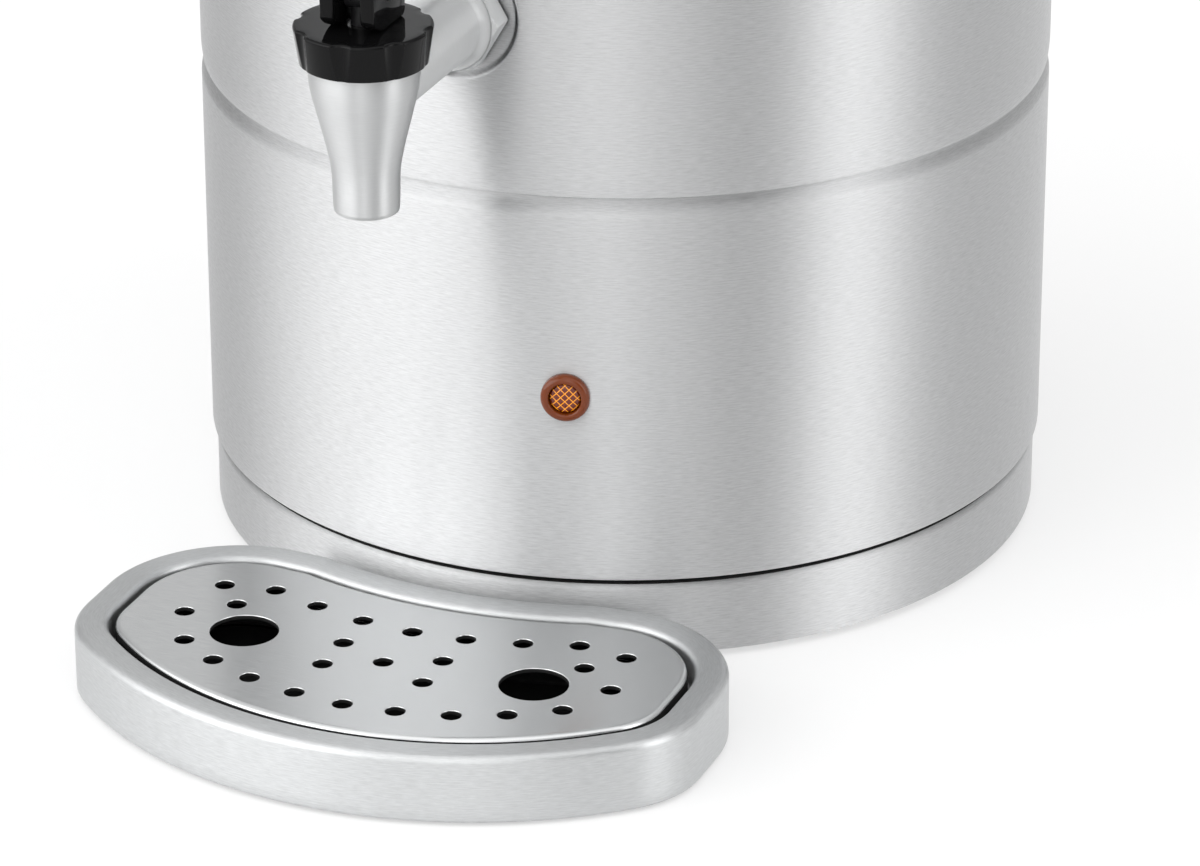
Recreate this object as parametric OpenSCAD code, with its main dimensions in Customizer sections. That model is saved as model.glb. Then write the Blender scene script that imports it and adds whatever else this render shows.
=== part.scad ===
// Hot water urn: double-walled steel body, lift-off lid, lever tap and loose drip tray.
// Origin: on the standing plane, on the body's own axis. +Z is up, the tap points to -Y.

/* [Body] */
// Outside diameter of the outer shell
body_d = 240; // [225:1:270]
// Sheet thickness of the outer shell
shell_t = 1.2; // [0.8:0.1:2]
// Height of the shell's top edge above the standing plane
body_top = 440; // [400:5:520]
// Height of the shell's lower edge
seam_z = 25; // [22:0.5:32]
// Height of the pressed ring groove
groove_z = 137; // [120:1:142]
// Height of the flute round the groove
groove_h = 9.4; // [6:0.2:12]
// Depth of the groove
groove_depth = 1.8; // [1:0.1:2.5]

/* [Base] */
// Step from the shell in to the base ring
base_step = 1.3; // [0.5:0.1:3]
// Wall of the base ring
base_t = 1.5; // [1:0.1:2.5]
// Gap between the base ring and the standing plane
ground_gap = 2; // [1.5:0.1:4]
// Radius of the base ring's rounded shoulder
shoulder_r = 2.4; // [1:0.1:4]
// Diameter of a rubber foot
foot_d = 18; // [14:0.5:24]
// Radius of the circle that the feet stand on
foot_circle_r = 86; // [75:1:92]

/* [Tank] */
// Space between the outsides of the shell and of the tank
wall_gap = 12; // [10:0.5:16]
// Sheet thickness of the inner tank
tank_t = 1; // [0.8:0.1:1.5]
// Height of the tank floor
tank_floor = 163; // [160:0.5:165]
// Corner radius between tank wall and floor
tank_corner = 5; // [3:0.5:6]

/* [Lid] */
// Rise of the lid's dome above its rim
dome_rise = 16; // [8:1:24]
// Sheet thickness of the lid
lid_t = 1; // [0.8:0.1:1.5]
// Depth of the lid's skirt inside the tank
skirt_h = 10; // [6:1:16]
// Diameter of the lid knob
knob_d = 42; // [32:1:50]
// Height of the lid knob
knob_h = 26; // [22:1:34]

/* [Handles] */
// Height of the handles' middle
handle_z = 350; // [320:5:390]
// Distance between the two handle posts
handle_span = 92; // [80:1:110]
// Distance from the shell to the grip's axis
handle_reach = 42; // [38:1:52]
// Diameter of the grip
grip_d = 17; // [14:0.5:20]

/* [Tap] */
// Distance from the urn's axis to the tap's axis
tap_reach = 177; // [172:1:190]
// Height of the spout's outlet
outlet_z = 153; // [150:0.5:158]
// Height of the valve body, from the outlet to the bonnet
valve_h = 40.8; // [39:0.1:43]
// Height of the shank's axis
shank_z = 186.5; // [185:0.5:188]
// Diameter of the shank
shank_d = 22; // [20:0.5:25]
// Hexagon flange across flats
hex_af = 25.6; // [25:0.1:27]
// Thickness of the hexagon flange
hex_t = 8.5; // [6:0.5:10]
// Diameter of the threaded tail through the walls
tail_d = 18; // [16:0.5:19]
// Bore of the shank
water_bore = 11; // [8:0.5:12]
// Diameter of the bonnet at its top
bonnet_d = 36.2; // [35:0.1:38]
// Diameter of the bonnet at its bottom
bonnet_low_d = 33.1; // [32:0.1:34]
// Height of the bonnet
bonnet_h = 10.2; // [9.8:0.1:13]
// Number of flutes round the bonnet
flute_count = 8; // [6:1:12]
// Depth of a flute at the bonnet's top
flute_depth = 1.2; // [0.6:0.1:1.6]
// Travel of the valve stem
stem_travel = 2.5; // [1.5:0.5:3]
// Angle through which the lever swings
lever_swing = 50; // [35:1:55]
// Length of the lever above its pin
lever_len = 58; // [45:1:75]

/* [Pilot lamp] */
// Diameter of the lamp's lens
pilot_d = 13.5; // [11:0.5:16]
// Height of the lamp's centre
pilot_z = 80; // [60:1:100]
// Angle from the tap round to the lamp
pilot_angle = 14.3; // [8:0.1:25]

/* [Drip tray] */
// Height of the drip tray
tray_h = 18; // [15:0.5:24]
// Half the tray's width
tray_half_w = 89.2; // [84:0.2:95]
// Width of the tray's rim
rim_w = 9.4; // [8:0.2:12]
// Gap between the rim and the grid plate
grid_gap = 1.5; // [1:0.1:2]
// Diameter of a drain hole
drain_d = 5.4; // [4:0.1:6.5]
// Diameter of a finger hole
finger_d = 18.7; // [16:0.1:21]

/* [Hidden] */
$fn = 96;
// Running clearance of a pin or rod in its bore, on the radius
run = 0.05;
// Clearance between pieces that are held still, on the radius
snug = 0.15;
// Clearance between moving pieces that are no fit
free = 0.3;
// Overlap of a cut past the face that it opens
cut = 1;

body_r = body_d / 2;
shell_in_r = body_r - shell_t;
tank_r = body_r - wall_gap;
tank_in_r = tank_r - tank_t;
base_r = body_r - base_step;
base_hem = 14;
cover_z = ground_gap + base_t;
cover_t = 1.2;
shell_flange = 9;

// Screws, feet and cooling holes of the bottom cover
cover_screw_r = base_r - base_hem / 2;
cover_screw_d = 3;
foot_stem_d = 6;
cooling_hole_d = 5;

// Tap: the wall dimple is a flat seat for the hexagon flange
dimple_r = 17.5;
dimple_y = body_r - 2.8;
pad_r = 17;
pad_y = tank_r - 2;
gasket_t = 1;
hex_y = dimple_y + gasket_t;
valve_top = outlet_z + valve_h;
bonnet_top = valve_top + bonnet_h;
neck_d = 26;
neck_h = 7;
chamber_d = 17;
seat_z = outlet_z + 21;
outlet_bore = 11;
stem_d = 6;
stem_eye_d = 9;
pin_d = 3;
cup_d = 14.5;
cup_h = 5;
spring_seat_d = 11;
flute_r = 4.5;
// The bonnet is screwed home with one flute a little to the right of the front
flute_turn = 5.3;
cheek_t = 3.8;
cheek_in = 3.7;
cheek_back = 9.6;
bridge_z = 8;
bridge_top = 14;
lever_lean = 16;
pin_height = 8.5;
pin_z = bonnet_top + pin_height;
// Lift for each radian that the lever turns
cam_rate = stem_travel / (lever_swing * PI / 180);
lock_nut_af = 27;
lock_nut_t = 6;

// Heating parts hang under the tank floor
heater_d = 150;
heater_t = 5;
element_d = 8;
element_r = 52;
tank_under = tank_floor - tank_t;
heater_under = tank_under - heater_t;

// Lid
tank_flange_r = body_r - 3;
lid_rim_r = tank_flange_r - 4.3;
lid_z = body_top + tank_t;
steam_hole_d = 5;
steam_circle_r = 62;
knob_screw_d = 5;
dome_foot_r = tank_in_r - 3;
dome_top = lid_z + lid_t + dome_rise;

// Mains side, at the back
inlet_z = 62;
inlet_w = 27;
inlet_h = 20;
inlet_depth = 18;
inlet_plate_w = 48;
inlet_plate_h = 24;
inlet_screw_span = 40;
inlet_screw_d = 3;
switch_z = 98;
switch_w = 19;
switch_h = 13;
switch_swing = 6;

// Drip tray: front arc, two front corners, two rear lobes and the hollow rear arc
tray_front_r = 118.4;
tray_front_y = 15.6 - body_r;
tray_corner_r = 30;
tray_lobe_r = 37.6;
tray_lobe_x = tray_half_w - tray_lobe_r;
tray_lobe_y = -37.2 - body_r;
tray_rear_r = body_r + 7.2;
tray_edge_r = 4.4;
tray_t = 1.2;
tray_clear = 1;
ledge_z = tray_h - 7;
ledge_w = 4;
tray_floor = tray_clear + tray_t;
grid_inset = rim_w + grid_gap;
grid_t = 1.4;
grid_sink = 0.4;
finger_x = 42.4;
finger_y = 48;

steel = [0.78, 0.78, 0.77];
black = [0.08, 0.08, 0.09];
brass = [0.80, 0.66, 0.35];
rubber = [0.15, 0.15, 0.15];

// ---- helpers ----

// A copy of the children on each of count places round the axis
module ring(count, r, start = 0) {
    for (i = [0 : count - 1]) rotate([0, 0, start + i * 360 / count]) translate([r, 0, 0]) children();
}

// A cylinder along +Y, from y0 to y1
module rod_y(d, y0, y1) {
    translate([0, y0, 0]) rotate([-90, 0, 0]) cylinder(d = d, h = y1 - y0);
}

// A tube along +Y, from y0 to y1
module tube_y(d, bore, y0, y1) {
    difference() {
        rod_y(d, y0, y1);
        rod_y(bore, y0 - cut, y1 + cut);
    }
}

// A hexagon prism along +Y, with two flats level
module hex_y(af, y0, y1) {
    translate([0, y0, 0]) rotate([-90, 0, 0]) cylinder(d = af / cos(30), h = y1 - y0, $fn = 6);
}

// A cylinder along X through the origin
module rod_x(d, len) {
    rotate([0, 90, 0]) cylinder(d = d, h = len, center = true);
}

// Points of an arc about c, from angle a0 to a1
function arc(c, r, a0, a1, n) =
    [for (i = [0 : n]) c + r * [cos(a0 + (a1 - a0) * i / n), sin(a0 + (a1 - a0) * i / n)]];

// ---- base ----

module base_ring() {
    top = seam_z;
    color(steel) difference() {
        rotate_extrude() difference() {
            union() {
                translate([base_r - base_hem, ground_gap]) square([base_hem, top - ground_gap - shoulder_r]);
                translate([base_r - base_hem, top - shoulder_r - cut])
                    square([base_hem - shoulder_r, shoulder_r + cut]);
                translate([base_r - shoulder_r, top - shoulder_r]) circle(r = shoulder_r, $fn = 48);
            }
            translate([base_r - base_hem - cut, ground_gap + base_t])
                square([base_hem + cut - base_t, top - ground_gap - 2 * base_t - shoulder_r / 2]);
        }
        ring(4, cover_screw_r) cylinder(d = cover_screw_d + 2 * snug, h = cover_z + cut);
    }
}

module bottom_cover() {
    color(steel) difference() {
        translate([0, 0, cover_z]) cylinder(r = base_r - base_t - snug * 2, h = cover_t);
        ring(4, foot_circle_r, 45) translate([0, 0, cover_z - cut])
            cylinder(d = foot_stem_d + 2 * snug, h = cover_t + 2 * cut);
        ring(4, cover_screw_r) translate([0, 0, cover_z - cut])
            cylinder(d = cover_screw_d + 2 * snug, h = cover_t + 2 * cut);
        for (r = [24, 40]) ring(12, r) translate([0, 0, cover_z - cut])
            cylinder(d = cooling_hole_d, h = cover_t + 2 * cut);
    }
}

module rubber_feet() {
    color(rubber) ring(4, foot_circle_r, 45) {
        cylinder(d = foot_d, h = cover_z);
        cylinder(d = foot_stem_d, h = cover_z + cover_t + 1);
        // Barb that holds the foot in the cover
        translate([0, 0, cover_z + cover_t]) cylinder(d1 = foot_stem_d + 4, d2 = foot_stem_d - 1, h = 4);
    }
}

module bottom_screws() {
    color(steel) ring(4, cover_screw_r) {
        translate([0, 0, ground_gap - 1.4]) cylinder(d = 6, h = 1.4);
        translate([0, 0, ground_gap - 0.1]) cylinder(d = cover_screw_d, h = base_t + cover_t + 6);
    }
}

// ---- walls ----

// Radii and heights of the shell's outer face round the groove, from the bottom up
function groove_line() = [
    [0, -groove_h * 0.40], [0.5 * groove_depth, -groove_h * 0.10], [groove_depth, 0],
    [0.62 * groove_depth, groove_h * 0.06], [0.25 * groove_depth, groove_h * 0.28], [0, groove_h * 0.60]];

module outer_shell() {
    outside = [for (p = groove_line()) [body_r - p[0], groove_z + p[1]]];
    inside = [for (i = [len(outside) - 1 : -1 : 0]) outside[i] - [shell_t, 0]];
    color(steel) difference() {
        union() {
            difference() {
                rotate_extrude() polygon(concat(
                    [[body_r - shell_flange, seam_z], [body_r, seam_z]], outside,
                    [[body_r, body_top], [shell_in_r, body_top]], inside,
                    [[shell_in_r, seam_z + shell_t], [body_r - shell_flange, seam_z + shell_t]]));
                translate([0, 0, shank_z]) rod_y(2 * dimple_r + shell_t, -body_r - cut, -body_r / 2);
            }
            // Pressed dimple for the tap
            intersection() {
                translate([0, 0, shank_z]) rotate([90, 0, 0]) rotate_extrude() polygon([
                    [0, dimple_y], [dimple_r - 2, dimple_y], [dimple_r - 0.6, dimple_y + 0.6],
                    [dimple_r, dimple_y + 2], [dimple_r, body_r], [dimple_r + shell_t, body_r],
                    [dimple_r + shell_t, dimple_y - shell_t], [0, dimple_y - shell_t]]);
                cylinder(r = body_r, h = body_top);
            }
        }
        translate([0, 0, shank_z]) rod_y(tail_d + 2 * snug, -body_r - cut, -body_r / 2);
        at_pilot() rod_y(barrel_d + 2 * snug, -body_r - cut, -body_r / 2);
        // Openings of the mains inlet and of the switch
        translate([-inlet_w / 2 - snug, body_r / 2, inlet_z - inlet_h / 2 - snug])
            cube([inlet_w + 2 * snug, body_r, inlet_h + 2 * snug]);
        translate([-switch_w / 2 - snug, body_r / 2, switch_z - switch_h / 2 - snug])
            cube([switch_w + 2 * snug, body_r, switch_h + 2 * snug]);
        for (x = [-1, 1]) translate([x * inlet_screw_span / 2, 0, inlet_z])
            rod_y(inlet_screw_d + 2 * snug, body_r / 2, body_r + cut);
        handle_holes(handle_screw_d + 2 * snug);
    }
}

// The four holes where the handle screws pass the shell
module handle_holes(d) {
    for (side = [0, 180], y = [-1, 1]) rotate([0, 0, side])
        translate([body_r / 2, y * handle_span / 2, handle_z]) rotate([0, 90, 0]) cylinder(d = d, h = body_r);
}

module inner_tank() {
    top = body_top + tank_t;
    color(steel) difference() {
        union() {
            difference() {
                rotate_extrude() difference() {
                    union() {
                        translate([0, tank_under + tank_corner])
                            square([tank_r, top - tank_under - tank_corner]);
                        translate([0, tank_under]) square([tank_r - tank_corner, tank_corner + cut]);
                        translate([tank_r - tank_corner, tank_under + tank_corner])
                            circle(r = tank_corner, $fn = 48);
                        translate([0, body_top]) square([tank_flange_r, tank_t]);
                    }
                    translate([0, tank_floor + tank_corner])
                        square([tank_in_r, top + cut - tank_floor - tank_corner]);
                    translate([0, tank_floor]) square([tank_in_r - tank_corner + tank_t, tank_corner + cut]);
                }
                translate([0, 0, shank_z]) rod_y(2 * pad_r + tank_t, -body_r, -tank_r / 2);
            }
            // Flat pad pressed in where the tap passes
            intersection() {
                translate([0, 0, shank_z]) rotate([90, 0, 0]) rotate_extrude() polygon([
                    [0, pad_y], [pad_r, pad_y], [pad_r, tank_r], [pad_r + tank_t, tank_r],
                    [pad_r + tank_t, pad_y - tank_t], [0, pad_y - tank_t]]);
                cylinder(r = tank_r, h = body_top);
            }
        }
        translate([0, 0, shank_z]) rod_y(tail_d + 2 * snug, -body_r, -tank_r / 2);
    }
}

module rim_ring() {
    // A rolled cap over the shell's edge and the tank's flange
    cap_r = 3.2;
    cap_x = body_r - 1.4;
    color(steel) rotate_extrude() difference() {
        translate([cap_x, lid_z - 0.6]) circle(r = cap_r, $fn = 48);
        translate([0, body_top - 4]) square([shell_in_r, 4]);
        translate([0, body_top - cut]) square([body_r + snug, cut]);
        translate([0, body_top - 4]) square([body_r + snug, 4]);
        translate([0, body_top - snug]) square([tank_flange_r + snug, tank_t + snug]);
        translate([shell_in_r - 1, body_top - cut]) square([body_r - shell_in_r + 1 + snug, cut]);
    }
}

// ---- heating ----

module heater_plate() {
    color("gainsboro") difference() {
        translate([0, 0, heater_under]) cylinder(d = heater_d, h = heater_t);
        translate([0, 0, heater_under]) rotate_extrude() translate([element_r, 0])
            circle(d = element_d + 2 * snug, $fn = 48);
    }
}

module heating_element() {
    gap_angle = 30;
    leg = 18;
    color("dimgray") translate([0, 0, heater_under]) {
        rotate([0, 0, 90 + gap_angle / 2]) rotate_extrude(angle = 360 - gap_angle)
            translate([element_r, 0]) circle(d = element_d, $fn = 48);
        for (side = [-1, 1]) rotate([0, 0, 90 + side * gap_angle / 2]) translate([element_r, 0, -leg]) {
            cylinder(d = element_d - 1, h = leg);
            translate([0, 0, -8]) cylinder(d = 3, h = 9);
        }
    }
}

module thermostat() {
    color("ivory") translate([0, 0, heater_under - 11]) {
        cylinder(d = 24, h = 11);
        for (x = [-1, 1]) translate([x * 7 - 3, -0.4, -9]) cube([6, 0.8, 10]);
    }
}

module thermal_cutout() {
    color("ivory") translate([0, -30, heater_under - 9]) {
        cylinder(d = 17, h = 9);
        translate([0, 0, -3]) cylinder(d = 5, h = 4);
        for (x = [-1, 1]) translate([x * 6 - 2, -0.4, -8]) cube([4, 0.8, 9]);
    }
}

// ---- mains side ----

inlet_face = body_r + 1.6;

module mains_inlet() {
    socket_w = 24.5;
    socket_h = 16.5;
    color(black) translate([0, 0, inlet_z]) difference() {
        union() {
            translate([-inlet_plate_w / 2, body_r - 8, -inlet_plate_h / 2])
                cube([inlet_plate_w, inlet_face - body_r + 8, inlet_plate_h]);
            translate([-inlet_w / 2, body_r - inlet_depth - 3, -inlet_h / 2])
                cube([inlet_w, inlet_depth, inlet_h]);
        }
        // The flange's back fits the round wall, and only the socket box passes through it
        difference() {
            translate([0, 0, -inlet_plate_h]) cylinder(r = body_r + run, h = 2 * inlet_plate_h);
            translate([-inlet_w / 2, 0, -inlet_h / 2]) cube([inlet_w, body_d, inlet_h]);
        }
        // Socket with two cut upper corners
        translate([0, inlet_face + cut, 0]) rotate([90, 0, 0]) linear_extrude(inlet_depth + cut)
            polygon([[-socket_w / 2, -socket_h / 2], [socket_w / 2, -socket_h / 2],
                [socket_w / 2, socket_h / 2 - 4], [socket_w / 2 - 4, socket_h / 2],
                [4 - socket_w / 2, socket_h / 2], [-socket_w / 2, socket_h / 2 - 4]]);
        for (x = [-1, 1]) translate([x * inlet_screw_span / 2, 0, 0])
            rod_y(inlet_screw_d + 2 * snug, body_r / 2, body_r + 9);
        pin_bars();
    }
}

// The three flat pins, about the socket's middle
module pin_bars() {
    back = body_r - inlet_depth - 3;
    for (p = [[-7, -2], [0, 2.5], [7, -2]])
        translate([p[0] - 1, back - 8, p[1] - 2]) cube([2, inlet_face - back + 2, 4]);
}

module inlet_pins() {
    color(brass) translate([0, 0, inlet_z]) pin_bars();
}

module inlet_screws() {
    color(steel) for (x = [-1, 1]) translate([x * inlet_screw_span / 2, 0, inlet_z]) {
        rod_y(inlet_screw_d, body_r - 10, inlet_face + 0.5);
        rod_y(2 * inlet_screw_d - 0.2, inlet_face, inlet_face + 1.3);
    }
}

switch_face = body_r + 1.8;
switch_pivot_y = body_r - 1.5;

module switch_housing() {
    wall = 1.4;
    color(black) translate([0, 0, switch_z]) difference() {
        union() {
            translate([-switch_w / 2 - 2, body_r - 6, -switch_h / 2 - 2])
                cube([switch_w + 4, switch_face - body_r + 6, switch_h + 4]);
            translate([-switch_w / 2, body_r - 20, -switch_h / 2]) cube([switch_w, 21, switch_h]);
        }
        difference() {
            translate([0, 0, -switch_h]) cylinder(r = body_r + run, h = 2 * switch_h);
            translate([-switch_w / 2, 0, -switch_h / 2]) cube([switch_w, body_d, switch_h]);
        }
        translate([-switch_w / 2 + wall, body_r - 10, -switch_h / 2 + wall])
            cube([switch_w - 2 * wall, 30, switch_h - 2 * wall]);
        translate([0, switch_pivot_y, 0]) rod_x(2 + 2 * run, switch_w - 2 * wall + 1.6);
    }
}

module switch_rocker() {
    wall = 1.4;
    len = switch_w - 2 * wall - 2 * free;
    half = switch_h / 2 - wall - 1.2;
    // At rest its lower half is pressed in, which is off
    color([0.55, 0.05, 0.05]) translate([0, switch_pivot_y, switch_z]) rotate([-switch_swing, 0, 0]) {
        rod_x(2 * half, len);
        // Two faces that meet in a shallow V
        for (s = [-1, 1]) rotate([s * switch_swing, 0, 0])
            translate([-len / 2, 0, s > 0 ? 0 : -half]) cube([len, 4.2, half]);
        rod_x(2, len + 2 * free + 1);
    }
}

// ---- pilot lamp ----

barrel_d = pilot_d - 3.5;

module at_pilot() {
    rotate([0, 0, pilot_angle]) translate([0, 0, pilot_z]) children();
}

module pilot_lens() {
    // Its back lies flat on the wall's foremost line
    color([0.95, 0.45, 0.05]) at_pilot() difference() {
        union() {
            rod_y(pilot_d, -body_r - 2.2, -body_r);
            translate([0, -body_r - 2.2, 0]) rotate([90, 0, 0])
                cylinder(d1 = pilot_d, d2 = pilot_d - 2, h = 0.8);
        }
        // Sunk centre
        rod_y(pilot_d - 5, -body_r - 4, -body_r - 1.2);
    }
}

module pilot_body() {
    color(black) at_pilot() difference() {
        rod_y(barrel_d, -body_r, -body_r + 22);
        rod_y(pilot_d - 6, -body_r + 20, -body_r + 23);
    }
}

module pilot_nut() {
    color(steel) at_pilot() difference() {
        hex_y(pilot_d + 0.5, -shell_in_r + 2 * snug + 0.1, -shell_in_r + 3);
        rod_y(barrel_d + 2 * snug, -body_r, -body_r / 2);
    }
}

// ---- handles ----

post_d = 24;
post_h = 7;
bend_r = 16;
handle_screw_d = 4;

// A cylinder along +X, from the origin
module post_x(d, len, d_end = 0) {
    rotate([0, 90, 0]) cylinder(d1 = d, d2 = d_end > 0 ? d_end : d, h = len);
}

// One bow handle on the +X side: two posts, two bends and a straight grip
module bow_handle() {
    axis_x = body_r + handle_reach;
    half = handle_span / 2;
    // How far the posts start inside the wall's foremost line, before the wall cuts them
    inward = body_r - sqrt(pow(body_r, 2) - pow(half + post_d / 2, 2)) + cut;
    color(black) difference() {
        union() {
            for (s = [-1, 1]) {
                translate([body_r - inward, s * half, 0]) post_x(grip_d, handle_reach + inward - bend_r);
                translate([body_r - inward, s * half, 0]) post_x(post_d, inward + post_h);
                translate([body_r + post_h, s * half, 0]) post_x(post_d, 4, grip_d);
                translate([axis_x - bend_r, s * (half - bend_r), 0]) rotate([0, 0, s > 0 ? 0 : -90])
                    rotate_extrude(angle = 90) translate([bend_r, 0]) circle(d = grip_d, $fn = 64);
            }
            translate([axis_x, 0, 0]) rotate([90, 0, 0])
                cylinder(d = grip_d, h = handle_span - 2 * bend_r, center = true);
        }
        // The posts' feet fit the round wall
        translate([0, 0, -post_d]) cylinder(r = body_r + run, h = 2 * post_d);
        for (s = [-1, 1]) translate([body_r / 2, s * half, 0]) post_x(handle_screw_d, body_r / 2 + 14);
    }
}

module handle_right() {
    translate([0, 0, handle_z]) bow_handle();
}

module handle_left() {
    translate([0, 0, handle_z]) rotate([0, 0, 180]) bow_handle();
}

module handle_screws() {
    // Where the wall's inner face stands at the posts
    head_d = 7;
    wall_x = sqrt(pow(shell_in_r, 2) - pow(handle_span / 2 + handle_screw_d, 2));
    color(steel) for (side = [0, 180], s = [-1, 1]) rotate([0, 0, side])
        translate([0, s * handle_span / 2, handle_z]) {
            translate([wall_x - 2.2, 0, 0]) post_x(head_d, 2);
            translate([wall_x - 1, 0, 0]) post_x(handle_screw_d - 2 * run, 18);
        }
}

// ---- tap ----

module at_tap() {
    translate([0, -tap_reach, 0]) children();
}

// Radii of the spout, from the outlet up to the bonnet
function spout_line() = [
    [7.9, 0], [8.5, 0.6], [8.7, 4.9], [8.9, 11.2], [9.6, 15.8], [11.05, 21.8], [12.85, 29],
    [14.0, 34], [14.35, 37], [14.45, valve_h]];

module tap_body() {
    color(steel) difference() {
        union() {
            at_tap() translate([0, 0, outlet_z]) rotate_extrude()
                polygon(concat([[0, 0]], spout_line(), [[0, valve_h]]));
            at_tap() translate([0, 0, valve_top - cut]) cylinder(d = neck_d, h = neck_h + cut);
            translate([0, 0, shank_z]) {
                difference() {
                    rod_y(shank_d, -tap_reach, -hex_y - hex_t + cut);
                    // Spot face that clears the bonnet
                    translate([0, -tap_reach, valve_top - shank_z]) cylinder(d = bonnet_d + 1, h = shank_d);
                }
                // Hexagon flange with turned corners
                intersection() {
                    hex_y(hex_af, -hex_y - hex_t, -hex_y);
                    union() {
                        rod_y(hex_af / cos(30), -hex_y - hex_t + 2, -hex_y);
                        translate([0, -hex_y - hex_t + 2, 0]) rotate([90, 0, 0])
                            cylinder(d1 = hex_af / cos(30), d2 = hex_af + 0.4, h = 2);
                    }
                }
                rod_y(tail_d, -hex_y - cut, -pad_y + tank_t + gasket_t + lock_nut_t + 8);
            }
        }
        // Waterway from the tank to the chamber
        translate([0, 0, shank_z]) rod_y(water_bore, -tap_reach, -tank_r / 2);
        at_tap() translate([0, 0, seat_z]) cylinder(d = chamber_d, h = 60);
        at_tap() translate([0, 0, outlet_z - cut]) cylinder(d = outlet_bore, h = 40);
    }
}

module outer_gasket() {
    color(rubber) translate([0, 0, shank_z]) tube_y(hex_af - 2, tail_d + 2 * snug, -hex_y, -dimple_y);
}

module wall_spacer() {
    color(steel) translate([0, 0, shank_z]) tube_y(28, tail_d + 2 * snug, -dimple_y + shell_t, -pad_y);
}

module inner_gasket() {
    color(rubber) translate([0, 0, shank_z])
        tube_y(28, tail_d + 2 * snug, -pad_y + tank_t, -pad_y + tank_t + gasket_t);
}

module lock_nut() {
    face = -pad_y + tank_t + gasket_t;
    color(steel) translate([0, 0, shank_z]) difference() {
        hex_y(lock_nut_af, face, face + lock_nut_t);
        rod_y(tail_d + 2 * snug, face - cut, face + lock_nut_t + cut);
    }
}

module tap_bonnet() {
    edge = 0.6;
    color(black) at_tap() difference() {
        translate([0, 0, valve_top + 0.1]) {
            cylinder(d1 = bonnet_low_d, d2 = bonnet_d, h = bonnet_h - 0.1 - edge);
            translate([0, 0, bonnet_h - 0.1 - edge])
                cylinder(d1 = bonnet_d, d2 = bonnet_d - 2 * edge, h = edge);
        }
        translate([0, 0, valve_top - cut]) cylinder(d = neck_d + 2 * snug, h = neck_h + cut + snug);
        translate([0, 0, valve_top]) cylinder(d = stem_d + 2 * run, h = bonnet_h + cut);
        // Flutes that run out towards the bottom
        ring(flute_count, bonnet_d / 2 + flute_r - flute_depth, flute_turn - 90)
            translate([0, 0, valve_top - 1]) cylinder(r = flute_r, h = bonnet_h + 2);
    }
}

// A point of the cheek's cam face, which lifts the pin as the lever turns by angle a
function cam_point(a) =
    (pin_height - 0.1 + cam_rate * a * PI / 180) * [-sin(a), -cos(a)] + cam_rate * [-cos(a), sin(a)];

module lever_cheek() {
    foot = 0.1 - pin_height;
    cam = [for (k = [0 : 10]) cam_point(lever_swing * k / 10)];
    front = cam[len(cam) - 1];
    translate([-cheek_t / 2, 0, 0]) rotate([90, 0, 90]) linear_extrude(cheek_t)
        polygon(concat([[cheek_back - 1.2, foot]], cam, [
            [front[0], bridge_z / 4], [-bridge_z, bridge_z + 1], [-6, bridge_top], [6, bridge_top],
            [bridge_z, bridge_z + 1], [cheek_back, 0], [cheek_back, foot + 1.2]]));
}

module tap_lever() {
    pad = 24;
    color(black) at_tap() translate([0, 0, pin_z]) difference() {
        union() {
            for (s = [-1, 1]) translate([s * (cheek_in + cheek_t / 2), 0, 0]) lever_cheek();
            // Bridge over the stem's head
            translate([-cheek_in - cheek_t, -6, bridge_z])
                cube([2 * (cheek_in + cheek_t), 12, bridge_top - bridge_z]);
            // Paddle that leans to the front
            rotate([lever_lean, 0, 0]) {
                hull() {
                    translate([-7, -4.5, bridge_z + 2]) cube([14, 9, 1]);
                    translate([0, 0, lever_len - pad / 2]) rotate([90, 0, 0])
                        cylinder(d = pad, h = 7, center = true, $fn = 48);
                }
                translate([0, 0, lever_len - pad / 2]) rotate([90, 0, 0])
                    cylinder(d = pad - 4, h = 8.6, center = true);
            }
        }
        rod_x(pin_d + 2 * run, 40);
    }
}

module lever_pin() {
    color(steel) at_tap() translate([0, 0, pin_z]) rod_x(pin_d, 2 * (cheek_in + cheek_t) + 1);
}

module valve_stem() {
    eye_w = 2 * cheek_in - 2 * free;
    low = seat_z + 2;
    color(steel) at_tap() difference() {
        union() {
            translate([0, 0, low]) cylinder(d = stem_d, h = pin_z - low);
            translate([0, 0, pin_z]) intersection() {
                rod_x(stem_eye_d, eye_w);
                cylinder(d = 2 * stem_d, h = 20, center = true);
            }
            // Collar that the spring presses on
            translate([0, 0, seat_z + cup_h]) cylinder(d = spring_seat_d, h = 1.5);
        }
        translate([0, 0, pin_z]) rod_x(pin_d, 20);
    }
}

module seat_cup() {
    color([0.75, 0.73, 0.70]) at_tap() difference() {
        union() {
            translate([0, 0, seat_z]) cylinder(d = cup_d, h = cup_h - 2);
            translate([0, 0, seat_z + cup_h - 2]) cylinder(d1 = cup_d, d2 = spring_seat_d, h = 2);
        }
        translate([0, 0, seat_z + 2]) cylinder(d = stem_d, h = cup_h);
    }
}

spring_low = seat_z + cup_h + 1.5;
spring_high = valve_top + neck_h + snug;

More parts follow.
